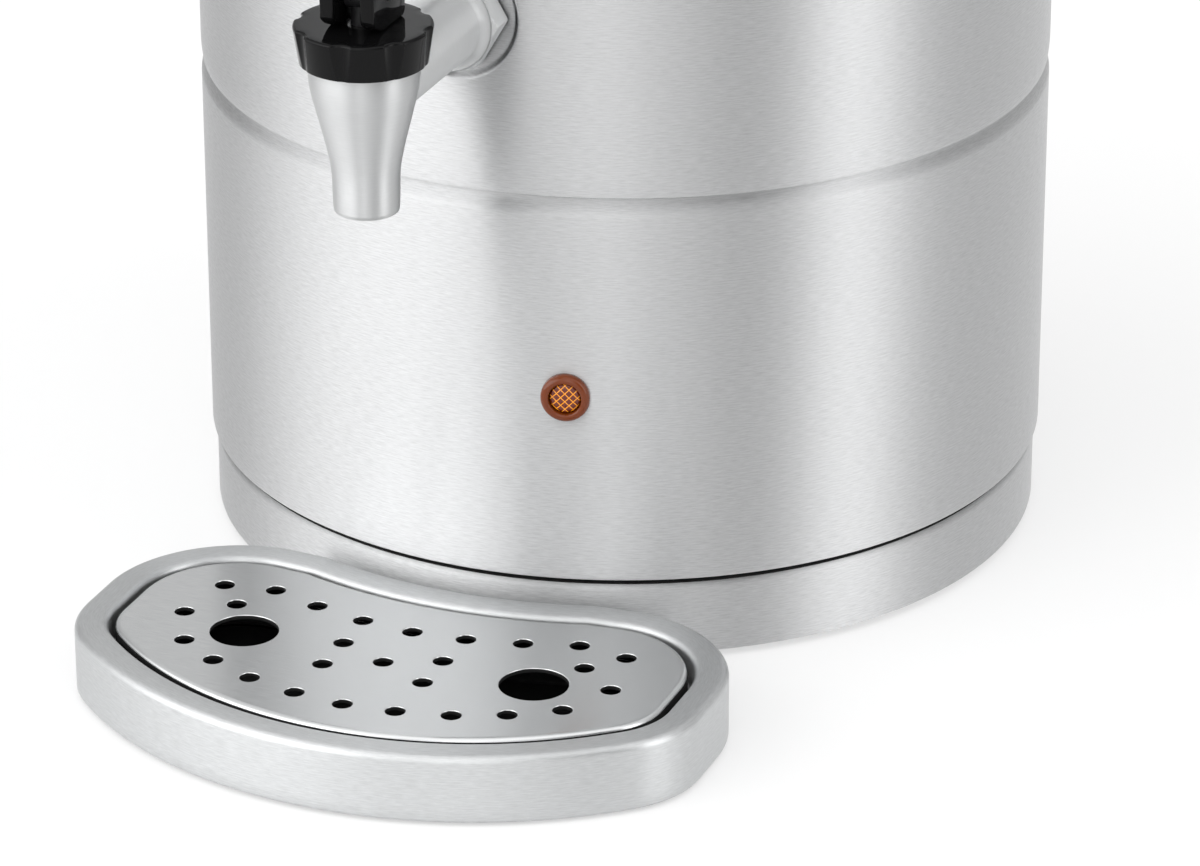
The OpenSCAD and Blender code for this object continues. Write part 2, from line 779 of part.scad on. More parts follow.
module valve_spring() {
    turns = 5;
    wire = 1.2;
    mean_r = 4.7;
    steps = 12;
    rise = (spring_high - spring_low - wire) / turns;
    sides = 6;
    n = turns * steps;
    rings = [for (i = [0 : n]) let (a = 360 * i / steps, z = spring_low + wire / 2 + rise * i / steps)
        [for (j = [0 : sides - 1]) let (b = 360 * j / sides, r = mean_r + wire / 2 * cos(b))
            [r * cos(a), r * sin(a), z + wire / 2 * sin(b)]]];
    color("silver") at_tap() polyhedron(
        points = [for (r = rings) for (p = r) p],
        faces = concat(
            [[for (j = [0 : sides - 1]) j]],
            [for (i = [0 : n - 1]) for (j = [0 : sides - 1]) let (k = (j + 1) % sides)
                [i * sides + j, (i + 1) * sides + j, (i + 1) * sides + k, i * sides + k]],
            [[for (j = [sides - 1 : -1 : 0]) n * sides + j]]));
}

// ---- lid ----

module lid_cap() {
    foot_z = lid_z;
    // Sphere through the dome's foot and top
    dome_r = (pow(dome_foot_r, 2) + pow(dome_rise, 2)) / (2 * dome_rise);
    color(steel) difference() {
        rotate_extrude() difference() {
            union() {
                translate([0, foot_z]) square([lid_rim_r, lid_t]);
                intersection() {
                    translate([0, foot_z + lid_t + dome_rise - dome_r]) circle(r = dome_r, $fn = 200);
                    translate([0, foot_z + lid_t / 2]) square([dome_foot_r + 1, dome_rise + 5]);
                }
            }
            intersection() {
                translate([0, foot_z + dome_rise - dome_r]) circle(r = dome_r, $fn = 200);
                translate([0, foot_z - cut]) square([dome_foot_r, dome_rise + 5]);
            }
            translate([-body_d, 0]) square([body_d, 2 * body_top]);
        }
        translate([0, 0, foot_z]) cylinder(d = knob_screw_d + 2 * snug, h = dome_rise + 10);
        ring(3, steam_circle_r, 60) translate([0, 0, foot_z]) cylinder(d = steam_hole_d, h = dome_rise + 10);
    }
}

module lid_liner() {
    skirt_r = tank_in_r - free - 0.4;
    color(steel) difference() {
        rotate_extrude() polygon([
            [0, lid_z - skirt_h], [skirt_r, lid_z - skirt_h], [skirt_r, lid_z], [dome_foot_r, lid_z],
            [skirt_r - lid_t, lid_z - lid_t], [skirt_r - lid_t, lid_z - skirt_h + lid_t],
            [0, lid_z - skirt_h + lid_t]]);
        ring(3, steam_circle_r, 60) translate([0, 0, lid_z - skirt_h - cut])
            cylinder(d = steam_hole_d, h = 2 * skirt_h);
    }
}

knob_z = dome_top;

module lid_knob() {
    color(black) difference() {
        translate([0, 0, knob_z]) rotate_extrude() polygon(concat(
            [[0, 0], [13, 0], [13, 3], [9.5, 6], [9.5, 11]],
            arc([knob_d / 2 - 5, 17], 5, -70, 0, 6),
            arc([knob_d / 2 - 5, knob_h - 5], 5, 0, 80, 6), [[0, knob_h]]));
        translate([0, 0, knob_z - cut]) cylinder(d = knob_screw_d, h = 15 + cut);
    }
}

module knob_screw() {
    color(steel) {
        translate([0, 0, knob_z - lid_t - 2.5]) cylinder(d = 2 * knob_screw_d, h = 2.4);
        translate([0, 0, knob_z - lid_t - 1]) cylinder(d = knob_screw_d - 2 * run, h = 14);
    }
}

// ---- drip tray ----

// Half of the tray's outline, inset by i: from the front middle round to the rear middle
function tray_half(i) =
    let (cr = tray_corner_r - i, cx = tray_half_w - tray_corner_r,
        cy = tray_front_y - sqrt(pow(tray_front_r - tray_corner_r, 2) - cx * cx),
        front_end = atan2(cy - tray_front_y, cx),
        rear_y = tray_lobe_y + tray_lobe_r - i, rear_r = tray_rear_r + i,
        rear_start = -acos(sqrt(rear_r * rear_r - rear_y * rear_y) / rear_r),
        corner = arc([cx, cy], cr, front_end, 0, 6),
        hollow = arc([0, 0], rear_r, rear_start, -90, 9))
        concat(
            arc([0, tray_front_y], tray_front_r - i, -90, front_end, 12),
            [for (k = [1 : 6]) corner[k]],
            arc([tray_lobe_x, tray_lobe_y], tray_lobe_r - i, 0, 90, 12),
            hollow);

// The whole outline, inset by i, counter-clockwise from the front middle
function tray_line(i) =
    let (half = tray_half(i), n = len(half))
        concat(half, [for (k = [n - 2 : -1 : 1]) [-half[k][0], half[k][1]]]);

// A closed skin through level copies of the outline, each given as [inset, height]
module outline_loft(levels) {
    m = len(tray_line(0));
    n = len(levels);
    polyhedron(
        points = [for (l = levels) for (p = tray_line(l[0])) [p[0], p[1], l[1]]],
        faces = concat(
            [[for (j = [0 : m - 1]) j]],
            [for (i = [0 : n - 2]) for (j = [0 : m - 1]) let (k = (j + 1) % m)
                [i * m + j, (i + 1) * m + j, (i + 1) * m + k, i * m + k]],
            [[for (j = [m - 1 : -1 : 0]) (n - 1) * m + j]]));
}

// [inset, height] of the pressed tray's upper face, from the lower edge to the floor
function tray_profile(t) = concat(
    [[t, tray_clear], [t, tray_h - tray_edge_r]],
    arc([tray_edge_r, tray_h - tray_edge_r], tray_edge_r - t, 150, 90, 2),
    [[rim_w - 1 - t * 0.4, tray_h - t], [rim_w - t, tray_h - 1 - t * 0.4], [rim_w - t, ledge_z - t],
        [rim_w + ledge_w - t, ledge_z - t], [rim_w + ledge_w - t, tray_floor - t]]);

module tray_basin() {
    upper = tray_profile(0);
    lower = tray_profile(tray_t);
    n = len(upper);
    color(steel) outline_loft(concat([for (i = [n - 1 : -1 : 0]) upper[i]], lower));
}

// Places of the drain holes on one side: [x, distance in front of the body]
function drain_half() = [
    [14.6, 75.8], [29.2, 72.5], [42.7, 66.7], [55.1, 58.8], [62.5, 43.4], [59.4, 24.6],
    [45.0, 22.4], [30.4, 26.9], [15.2, 30.4], [51.2, 34.2], [14.6, 58], [14.6, 44.5]];

// Distances in front of the body of the drain holes on the middle line
function drain_middle() = [77.2, 51, 31.7];

module tray_grid() {
    top = tray_h - grid_sink;
    color(steel) difference() {
        union() {
            translate([0, 0, top - grid_t]) linear_extrude(grid_t) polygon(tray_line(grid_inset));
            translate([0, 0, ledge_z]) linear_extrude(top - grid_t - ledge_z) difference() {
                polygon(tray_line(grid_inset));
                polygon(tray_line(grid_inset + grid_t));
            }
        }
        translate([0, -body_r, ledge_z - cut]) {
            for (s = [-1, 1]) {
                for (p = drain_half()) translate([s * p[0], -p[1], 0]) cylinder(d = drain_d, h = tray_h);
                translate([s * finger_x, -finger_y, 0]) cylinder(d = finger_d, h = tray_h);
            }
            for (y = drain_middle()) translate([0, -y, 0]) cylinder(d = drain_d, h = tray_h);
        }
    }
}

module tray_feet() {
    pad = 10;
    // [distance from the middle line, distance in front of the body]
    places = [[tray_lobe_x * 0.85, 70], [tray_lobe_x * 1.07, 25]];
    color(rubber) for (s = [-1, 1], p = places) translate([s * p[0], -body_r - p[1], 0])
        cylinder(d = pad, h = tray_clear);
}

base_ring();
bottom_cover();
rubber_feet();
bottom_screws();
outer_shell();
inner_tank();
rim_ring();
heater_plate();
heating_element();
thermostat();
thermal_cutout();
mains_inlet();
inlet_pins();
inlet_screws();
switch_housing();
switch_rocker();
pilot_lens();
pilot_body();
pilot_nut();
handle_left();
handle_right();
handle_screws();
tap_body();
outer_gasket();
wall_spacer();
inner_gasket();
lock_nut();
tap_bonnet();
tap_lever();
lever_pin();
valve_stem();
seat_cup();
valve_spring();
lid_cap();
lid_liner();
lid_knob();
knob_screw();
tray_basin();
tray_grid();
tray_feet();
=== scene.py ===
"""A hot water urn: a double-walled steel body with a lever tap, and a drip tray in front of it.

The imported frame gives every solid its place. The sections below follow the urn as it is put
together, from the base up to the lid, and then the tap and the drip tray.
"""
import math

import bpy
import numpy as np
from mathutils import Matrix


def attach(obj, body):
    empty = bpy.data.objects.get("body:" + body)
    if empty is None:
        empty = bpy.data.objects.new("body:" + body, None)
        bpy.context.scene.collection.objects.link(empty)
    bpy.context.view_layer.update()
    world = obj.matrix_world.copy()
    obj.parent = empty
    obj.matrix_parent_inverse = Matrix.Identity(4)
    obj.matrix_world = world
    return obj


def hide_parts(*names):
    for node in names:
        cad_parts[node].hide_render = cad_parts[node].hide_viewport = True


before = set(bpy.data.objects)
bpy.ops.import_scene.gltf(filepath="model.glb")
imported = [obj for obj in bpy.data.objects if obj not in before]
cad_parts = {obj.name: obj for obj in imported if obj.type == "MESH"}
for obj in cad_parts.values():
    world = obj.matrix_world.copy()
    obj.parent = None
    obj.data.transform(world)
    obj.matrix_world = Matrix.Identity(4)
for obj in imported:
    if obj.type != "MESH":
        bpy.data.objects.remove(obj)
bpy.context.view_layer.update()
MM = 0.001


# ---- Camera ----
# A long lens that looks down on the base, the tap and the tray from the front right.
# The urn's axis stands a little to the right of the picture's middle.
CAMERA_AZIMUTH = math.radians(22)
CAMERA_PITCH = math.radians(24.65)
CAMERA_REACH = 1531.2 * MM
CAMERA_HEIGHT = 717.2 * MM
camera = bpy.data.objects.new("camera", bpy.data.cameras.new("camera"))
camera.data.lens = 172.9
camera.data.sensor_width = 36.0
camera.data.shift_x = -0.02125
camera.data.clip_end = 20.0
camera.location = (CAMERA_REACH * math.sin(CAMERA_AZIMUTH), -CAMERA_REACH * math.cos(CAMERA_AZIMUTH),
                   CAMERA_HEIGHT)
camera.rotation_euler = (math.pi / 2 - CAMERA_PITCH, 0, CAMERA_AZIMUTH)
bpy.context.scene.collection.objects.link(camera)
bpy.context.scene.camera = camera


# ---- Base ring and outer shell ----
# Both are rolled steel sheet with a fine brushed grain that runs round the body. The shell's
# edge stands over the ring's rounded shoulder, and painted shade on the ring under that edge makes a dark line
# between the two.
BODY_R = 120.0
SHELL_T = 1.2
SEAM_Z = 25.0
BODY_TOP = 440.0
GROOVE_Z = 137.0
GROOVE_DEPTH = 2.4
GROOVE_R = BODY_R - GROOVE_DEPTH
SHANK_Z = 186.5
STEEL = (0.665, 0.67, 0.675, 1)


def link(name, mesh):
    piece = bpy.data.objects.new(name, mesh)
    bpy.context.scene.collection.objects.link(piece)
    return piece


def sheet_mesh(name, points, uv, round_u=False, round_v=False, cap=False, keep=None):
    """A grid of points (rows v, columns u, in mm) as a smooth quad mesh with its own UV map in metres.
    round_u and round_v join the last column or row to the first, cap closes both end rows,
    and keep is a mask of the cells that stay."""
    rows, cols = points.shape[:2]
    index = np.arange(rows * cols).reshape(rows, cols)
    v_end, u_end = (rows if round_v else rows - 1), (cols if round_u else cols - 1)
    v, u = np.meshgrid(np.arange(v_end), np.arange(u_end), indexing="ij")
    v2, u2 = (v + 1) % rows, (u + 1) % cols
    quads = np.stack([index[v, u], index[v, u2], index[v2, u2], index[v2, u]], -1)
    corner = np.stack([np.stack([v, u], -1), np.stack([v, u + 1], -1),
                       np.stack([v + 1, u + 1], -1), np.stack([v + 1, u], -1)], -2)
    if keep is not None:
        quads, corner = quads[keep], corner[keep]
    quads, corner = quads.reshape(-1, 4), corner.reshape(-1, 4, 2)
    grid_u, grid_v = uv
    faces = quads.tolist()
    loops = np.stack([grid_u[corner[..., 1]], grid_v[corner[..., 0]]], -1).reshape(-1, 2)
    if cap:
        ends = [list(range(cols - 1, -1, -1)), list(range((rows - 1) * cols, rows * cols))]
        faces += ends
        loops = np.concatenate([loops] + [points.reshape(-1, 3)[e][:, :2] * MM for e in ends])
    mesh = bpy.data.meshes.new(name)
    mesh.from_pydata((points.reshape(-1, 3) * MM).tolist(), [], faces)
    mesh.uv_layers.new(name="grain").data.foreach_set("uv", loops.ravel().astype(np.float32))
    mesh.shade_smooth()
    mesh.update()
    return link(name, mesh)


def running(line):
    """Distance run along a line of points, in metres, with one more step at the end for a closed line."""
    step = np.linalg.norm(np.diff(line, axis=0, append=line[:1]), axis=1)
    return np.concatenate([[0], np.cumsum(step)]) * MM


def turn(name, line, count=192, closed=True, angles=None, change=None, keep=None):
    """A line of (radius, height) points in mm turned round the Z axis. closed joins its ends, so that it
    bounds a ring, and change alters the finished grid of points."""
    line = np.asarray(line, float)
    angle = np.linspace(0, 2 * np.pi, count, endpoint=False) if angles is None else angles
    points = np.stack([line[:, None, 0] * np.cos(angle), line[:, None, 0] * np.sin(angle),
                       np.repeat(line[:, 1:2], len(angle), 1)], -1)
    if change is not None:
        points = change(points)
    around = np.append(angle - angle[0], 2 * np.pi) * line[:, 0].max() * MM
    mask = None if keep is None else keep(points)
    return sheet_mesh(name, points, (around, running(line)), round_u=True, round_v=closed, keep=mask)


def corner_arc(centre, radius, start, end, count=8):
    """Points of an arc about centre, from start to end in degrees."""
    a = np.radians(np.linspace(start, end, count))
    return [(centre[0] + radius * math.cos(t), centre[1] + radius * math.sin(t)) for t in a]


def paint(piece, *materials):
    piece.data.materials.clear()
    for material in materials:
        piece.data.materials.append(material)
    return piece


def nodes_of(name):
    material = bpy.data.materials.new(name)
    material.use_nodes = True
    tree = material.node_tree
    tree.nodes.clear()
    out = tree.nodes.new("ShaderNodeOutputMaterial")
    shader = tree.nodes.new("ShaderNodeBsdfPrincipled")
    tree.links.new(shader.outputs["BSDF"], out.inputs["Surface"])
    return material, tree, shader


def brushed(name, colour, grain, roughness, spread, lengthwise, bump, tint=0.10):
    """Metal with a grain: noise stretched along u of the piece's own UV map varies colour, roughness
    and height. lengthwise is the turn of the highlight's long side from the UV tangent."""
    material, tree, shader = nodes_of(name)
    uv = tree.nodes.new("ShaderNodeUVMap")
    uv.uv_map = "grain"
    stretch = tree.nodes.new("ShaderNodeMapping")
    stretch.inputs["Scale"].default_value = (grain[0], grain[1], 1)
    tree.links.new(uv.outputs["UV"], stretch.inputs["Vector"])
    fine = tree.nodes.new("ShaderNodeTexNoise")
    fine.inputs["Scale"].default_value = 1.0
    fine.inputs["Detail"].default_value = 3.0
    fine.inputs["Roughness"].default_value = 0.65
    tree.links.new(stretch.outputs["Vector"], fine.inputs["Vector"])
    shade = tree.nodes.new("ShaderNodeMapRange")
    shade.inputs["From Min"].default_value = 0.3
    shade.inputs["From Max"].default_value = 0.7
    shade.inputs["To Min"].default_value = 1.0 - tint
    shade.inputs["To Max"].default_value = 1.0 + tint
    tree.links.new(fine.outputs["Fac"], shade.inputs["Value"])
    mix = tree.nodes.new("ShaderNodeVectorMath")
    mix.operation = "SCALE"
    mix.inputs[0].default_value = colour[:3]
    tree.links.new(shade.outputs["Result"], mix.inputs["Scale"])
    tree.links.new(mix.outputs["Vector"], shader.inputs["Base Color"])
    rough = tree.nodes.new("ShaderNodeMapRange")
    rough.inputs["From Min"].default_value = 0.3
    rough.inputs["From Max"].default_value = 0.7
    rough.inputs["To Min"].default_value = roughness - 0.05
    rough.inputs["To Max"].default_value = roughness + 0.05
    tree.links.new(fine.outputs["Fac"], rough.inputs["Value"])
    tree.links.new(rough.outputs["Result"], shader.inputs["Roughness"])
    relief = tree.nodes.new("ShaderNodeBump")
    relief.inputs["Strength"].default_value = bump
    relief.inputs["Distance"].default_value = 0.00004
    tree.links.new(fine.outputs["Fac"], relief.inputs["Height"])
    tree.links.new(relief.outputs["Normal"], shader.inputs["Normal"])
    shader.inputs["Metallic"].default_value = 1.0
    shader.inputs["Anisotropic"].default_value = spread
    shader.inputs["Anisotropic Rotation"].default_value = lengthwise
    along = tree.nodes.new("ShaderNodeTangent")
    along.direction_type = "UV_MAP"
    along.uv_map = "grain"
    tree.links.new(along.outputs["Tangent"], shader.inputs["Tangent"])
    return material


def painted_shade(name, colour):
    """Painted shade in gaps, steps and recesses: dark and dull, with a faint mottle."""
    material, tree, shader = nodes_of(name)
    place = tree.nodes.new("ShaderNodeTexCoord")
    mottle = tree.nodes.new("ShaderNodeTexNoise")
    mottle.inputs["Scale"].default_value = 400.0
    tree.links.new(place.outputs["Object"], mottle.inputs["Vector"])
    blend = tree.nodes.new("ShaderNodeMix")
    blend.data_type = "RGBA"
    blend.inputs["A"].default_value = tuple(c * 0.5 for c in colour[:3]) + (1,)
    blend.inputs["B"].default_value = colour
    tree.links.new(mottle.outputs["Fac"], blend.inputs["Factor"])
    tree.links.new(blend.outputs["Result"], shader.inputs["Base Color"])
    shader.inputs["Roughness"].default_value = 0.6
    shader.inputs["Specular IOR Level"].default_value = 0.2
    return material


def darken(piece, where):
    """Gives a piece's second material to the faces whose middles (in mm) fit the test."""
    middle = np.array([face.center for face in piece.data.polygons]) / MM
    piece.data.polygons.foreach_set("material_index", where(middle).astype(np.int32))


shell_steel = brushed("brushed_sheet", STEEL, (260, 2600), 0.48, 1.0, 0.25, 0.22, 0.15)

ring_line = (
    [(104.7, 2.0)] + corner_arc((118.1, 2.6), 0.6, -90, 0, 5) + corner_arc((116.7, 21.3), 2.0, 0, 90, 14)
    + corner_arc((115.6, 24.3), 1.0, 270, 180, 5)
    + [(114.6, SEAM_Z), (104.7, SEAM_Z), (104.7, SEAM_Z - 1.5), (113.4, SEAM_Z - 1.5)]
    + [(114.2, 22.2), (116.0, 21.8), (117.2, 20.6), (117.2, 3.5), (104.7, 3.5)])
base_skirt = turn("base_skirt", ring_line, 240)
# Painted shade on the ring's faces under the shell's edge, for the dark seam line
seam_shade = painted_shade("seam_shade", (0.03, 0.03, 0.03, 1))
paint(base_skirt, shell_steel, seam_shade)
darken(base_skirt, lambda mid: (mid[:, 2] > 23.12) & (np.hypot(mid[:, 0], mid[:, 1]) > 112))
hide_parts("base_ring")
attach(base_skirt, "urn")

# The pressed groove: the wall draws in a little, steps in under a sharp edge, with painted shade as a dark
# line in the step, and comes back in a short soft flank
GROOVE_EDGE = GROOVE_Z + 0.5
draw_in = [(BODY_R - 0.45 * (1 - f) ** 2, GROOVE_EDGE + 6.0 * f) for f in np.linspace(1, 0.04, 8)]
flank = [(GROOVE_R, GROOVE_EDGE - 0.8)] + [
    (BODY_R - GROOVE_DEPTH * (1 - f * f * (3 - 2 * f)), GROOVE_EDGE - 1.5 - 4.2 * f)
    for f in np.linspace(0, 1, 16)]
step_in = [(BODY_R - 0.5, GROOVE_EDGE + 0.05), (BODY_R - 0.62, GROOVE_EDGE), (GROOVE_R, GROOVE_EDGE)]
groove = (draw_in + step_in + flank)[::-1]
dimple_rows = np.linspace(SHANK_Z - 19, SHANK_Z + 19, 96)
outside = (
    [(111.0, SEAM_Z), (118.9, SEAM_Z)] + corner_arc((118.9, SEAM_Z + 1.1), 1.1, -75, 0, 7)
    + [(BODY_R, z) for z in (32, 51.85, 72.15, 91.35, 104.65, 124)] + groove
    + [(BODY_R, z) for z in (146, 156)] + [(BODY_R, z) for z in dimple_rows]
    + [(BODY_R, z) for z in (220, 260, 300, 340, 380, 420, BODY_TOP)])
inside = [(r - SHELL_T, max(z, SEAM_Z + SHELL_T)) for r, z in outside[::-2] if z > SEAM_Z + 1]
shell_line = np.array(outside + inside + [(111.0, SEAM_Z + SHELL_T)])
INLET_HALF = (13.5, 10)
SWITCH_HALF = (9.5, 6.5)
INLET_Z = 62
SWITCH_Z = 98
inlet_edge = math.asin((INLET_HALF[0] + 0.15) / BODY_R)
switch_edge = math.asin((SWITCH_HALF[0] + 0.15) / BODY_R)
shell_angles = np.unique(np.round(np.concatenate([
    np.linspace(0, 2 * np.pi, 180, endpoint=False),
    np.radians(np.linspace(-99, -81, 91)) + 2 * np.pi,
    np.pi / 2 + np.array([-inlet_edge, -switch_edge, switch_edge, inlet_edge])]), 6))


DIMPLE_R = 17.9
DIMPLE_STEP = 1.7
DIMPLE_Y = -117.2


def press_dimple(points):
    """The wall is pressed flat round the shank, over a disc, and rises back to the round wall
    through a smooth step."""
    x, y, z = points[..., 0], points[..., 1], points[..., 2]
    reach = np.hypot(x, z - SHANK_Z)
    w = np.clip((DIMPLE_R - reach) / DIMPLE_STEP, 0, 1)
    w = np.where(y < 0, w * w * (3 - 2 * w), 0)
    depth_in = BODY_R - np.hypot(x, y)
    flat = DIMPLE_Y + np.where(depth_in > 0.9, SHELL_T, 0)
    points[..., 1] = y * (1 - w) + flat * w
    return points


def leave_openings(points):
    """Mask of the cells that aren't in the inlet's or the switch's cut-out."""
    mid = (points[:-1] + points[1:]) / 2
    mid = np.concatenate([mid, (points[-1:] + points[:1]) / 2])
    mid = (mid + np.roll(mid, -1, axis=1)) / 2
    back = mid[..., 1] > 100
    across = abs(mid[..., 0])
    inlet = (across < INLET_HALF[0]) & (abs(mid[..., 2] - INLET_Z) < INLET_HALF[1])
    switch = (across < SWITCH_HALF[0]) & (abs(mid[..., 2] - SWITCH_Z) < SWITCH_HALF[1])
    return ~(back & (inlet | switch))


shell_skin = turn("shell_skin", shell_line, angles=shell_angles, change=press_dimple, keep=leave_openings)
# Painted shade in the groove's step, for its dark line
groove_shade = painted_shade("groove_shade", (0.06, 0.06, 0.06, 1))
paint(shell_skin, shell_steel, groove_shade)
darken(shell_skin, lambda mid: (abs(mid[:, 2] - GROOVE_EDGE + 0.4) < 0.42)
       & (np.hypot(mid[:, 0], mid[:, 1]) > GROOVE_R - 0.1))
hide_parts("outer_shell")
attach(shell_skin, "urn")


# ---- Pilot lamp ----
# An amber moulded lamp: a glossy domed ring round a lens with a diamond grid. Its barrel passes
# through the wall and a nut holds it from inside.
LAMP_ANGLE = math.radians(14.3)
LAMP_Z = 80.0
LAMP_R = 6.75
LENS_R = 4.15


def facing(points, angle, height, reach=BODY_R):
    """Points drawn about the Z axis, with Z outwards, set on the wall at that angle from the tap."""
    x, y, z = points[..., 0], points[..., 1], points[..., 2]
    out = reach + z
    across, up = x, y
    return np.stack([across * math.cos(angle) + out * math.sin(angle),
                     across * math.sin(angle) - out * math.cos(angle), height + up], -1)


def tinted_plastic(name, colour, roughness, coat):
    """Glossy coloured plastic with a slow change of colour through it."""
    material, tree, shader = nodes_of(name)
    place = tree.nodes.new("ShaderNodeTexCoord")
    cloud = tree.nodes.new("ShaderNodeTexNoise")
    cloud.inputs["Scale"].default_value = 300.0
    tree.links.new(place.outputs["Object"], cloud.inputs["Vector"])
    blend = tree.nodes.new("ShaderNodeMix")
    blend.data_type = "RGBA"
    blend.inputs["A"].default_value = tuple(c * 0.75 for c in colour[:3]) + (1,)
    blend.inputs["B"].default_value = colour
    tree.links.new(cloud.outputs["Fac"], blend.inputs["Factor"])
    tree.links.new(blend.outputs["Result"], shader.inputs["Base Color"])
    shader.inputs["Roughness"].default_value = roughness
    shader.inputs["IOR"].default_value = 1.5
    shader.inputs["Specular IOR Level"].default_value = 0.25
    shader.inputs["Coat Weight"].default_value = coat
    shader.inputs["Coat Roughness"].default_value = 0.03
    return material


def prism_lens(name, pitch):
    """Amber lens with a moulded diamond grid: the lines between its prisms carry the light."""
    material, tree, shader = nodes_of(name)
    place = tree.nodes.new("ShaderNodeTexCoord")
    level = tree.nodes.new("ShaderNodeMapping")
    level.inputs["Rotation"].default_value = (0, math.radians(45), 0)
    square = tree.nodes.new("ShaderNodeMapping")
    square.inputs["Rotation"].default_value = (0, 0, -LAMP_ANGLE)
    tree.links.new(place.outputs["Object"], square.inputs["Vector"])
    tree.links.new(square.outputs["Vector"], level.inputs["Vector"])
    parts = tree.nodes.new("ShaderNodeSeparateXYZ")
    tree.links.new(level.outputs["Vector"], parts.inputs["Vector"])
    waves = []
    for axis in ("X", "Z"):
        scaled = tree.nodes.new("ShaderNodeMath")
        scaled.operation = "MULTIPLY"
        scaled.inputs[1].default_value = math.pi / (pitch * MM)
        tree.links.new(parts.outputs[axis], scaled.inputs[0])
        wave = tree.nodes.new("ShaderNodeMath")
        wave.operation = "SINE"
        tree.links.new(scaled.outputs["Value"], wave.inputs[0])
        height = tree.nodes.new("ShaderNodeMath")
        height.operation = "ABSOLUTE"
        tree.links.new(wave.outputs["Value"], height.inputs[0])
        waves.append(height)
    prism = tree.nodes.new("ShaderNodeMath")
    prism.operation = "MINIMUM"
    tree.links.new(waves[0].outputs["Value"], prism.inputs[0])
    tree.links.new(waves[1].outputs["Value"], prism.inputs[1])
    colours = tree.nodes.new("ShaderNodeValToRGB")
    stops = colours.color_ramp.elements
    stops[0].position, stops[0].color = 0.10, (1.0, 0.35, 0.01, 1)
    stops[1].position, stops[1].color = 0.35, (0.12, 0.012, 0.002, 1)
    tree.links.new(prism.outputs["Value"], colours.inputs["Fac"])
    tree.links.new(colours.outputs["Color"], shader.inputs["Base Color"])
    relief = tree.nodes.new("ShaderNodeBump")
    relief.inputs["Strength"].default_value = 0.6
    relief.inputs["Distance"].default_value = 0.0002
    tree.links.new(prism.outputs["Value"], relief.inputs["Height"])
    tree.links.new(relief.outputs["Normal"], shader.inputs["Normal"])
    shader.inputs["Roughness"].default_value = 0.08
    shader.inputs["Coat Weight"].default_value = 0.2
    return material


amber_ring = tinted_plastic("amber_ring", (0.16, 0.03, 0.003, 1), 0.05, 0.25)
amber_lens = prism_lens("amber_lens", 1.6)
lamp_line = (
    [(0.0, 0.0), (LAMP_R, 0.0), (LAMP_R, 0.6)] + corner_arc((LAMP_R - 1.5, 1.2), 1.5, 0, 90, 8)
    + corner_arc((LAMP_R - 1.7, 2.1), 0.6, 90, 180, 6) + [(4.45, 1.2), (4.4, 0.3), (0.0, 0.3)])
lamp_ring = turn("lamp_ring", lamp_line, 64, closed=False, change=lambda p: facing(p, LAMP_ANGLE, LAMP_Z))
paint(lamp_ring, amber_ring)
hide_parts("pilot_lens")
lens_line = (
    [(r, 1.2 + 0.7 * math.sqrt(max(0, 1 - (r / 4.5) ** 2))) for r in np.linspace(0, 4.0, 14)]
    + [(LENS_R, 1.2), (LENS_R, 0.3)])
lamp_lens = turn("lamp_lens", lens_line, 64, closed=False, change=lambda p: facing(p, LAMP_ANGLE, LAMP_Z))
paint(lamp_lens, amber_lens)
for piece in (lamp_ring, lamp_lens):
    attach(piece, "urn")


# ---- Inner tank and rim ----
# The tank's flange and the shell's edge meet under a polished cap that is rolled over both.
polished = brushed("polished_steel", (0.72, 0.72, 0.72, 1), (30, 4000), 0.12, 0.3, 0.25, 0.06, 0.03)
rim_line = (
    [(116.9, 441.1)] + corner_arc((118.6, 441.0), 2.6, 165, 20, 18)
    + [(121.6, 440.6), (121.6, 438.2), (120.3, 437.8), (120.3, 440.2), (117.0, 440.4)])
rim_cap = turn("rim_cap", rim_line, 240)
paint(rim_cap, polished)
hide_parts("rim_ring")
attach(rim_cap, "urn")


# ---- Handles ----
# Two bow handles of black phenolic, screwed on from inside the wall through their posts.
HANDLE_Z = 350.0
HANDLE_HALF = 46.0
HANDLE_REACH = 42.0
GRIP_R = 8.5
BEND_R = 16.0


def black_plastic(name, colour, roughness, gleam, relief_scale, relief):
    """Moulded black plastic: a fine skin texture and faint streaks of wear in its gloss."""
    material, tree, shader = nodes_of(name)
    place = tree.nodes.new("ShaderNodeTexCoord")
    skin = tree.nodes.new("ShaderNodeTexNoise")
    skin.inputs["Scale"].default_value = relief_scale
    skin.inputs["Detail"].default_value = 3.0
    tree.links.new(place.outputs["Object"], skin.inputs["Vector"])
    gloss = tree.nodes.new("ShaderNodeMapRange")
    gloss.inputs["To Min"].default_value = roughness * 0.8
    gloss.inputs["To Max"].default_value = roughness * 1.3
    tree.links.new(skin.outputs["Fac"], gloss.inputs["Value"])
    tree.links.new(gloss.outputs["Result"], shader.inputs["Roughness"])
    bump = tree.nodes.new("ShaderNodeBump")
    bump.inputs["Strength"].default_value = relief
    bump.inputs["Distance"].default_value = 0.00005
    tree.links.new(skin.outputs["Fac"], bump.inputs["Height"])
    tree.links.new(bump.outputs["Normal"], shader.inputs["Normal"])
    shader.inputs["Base Color"].default_value = colour
    shader.inputs["Specular IOR Level"].default_value = gleam
    return material


gloss_black = black_plastic("gloss_black", (0.004, 0.004, 0.0042, 1), 0.07, 0.13, 900, 0.08)
satin_black = black_plastic("satin_black", (0.014, 0.014, 0.015, 1), 0.38, 0.35, 2500, 0.5)


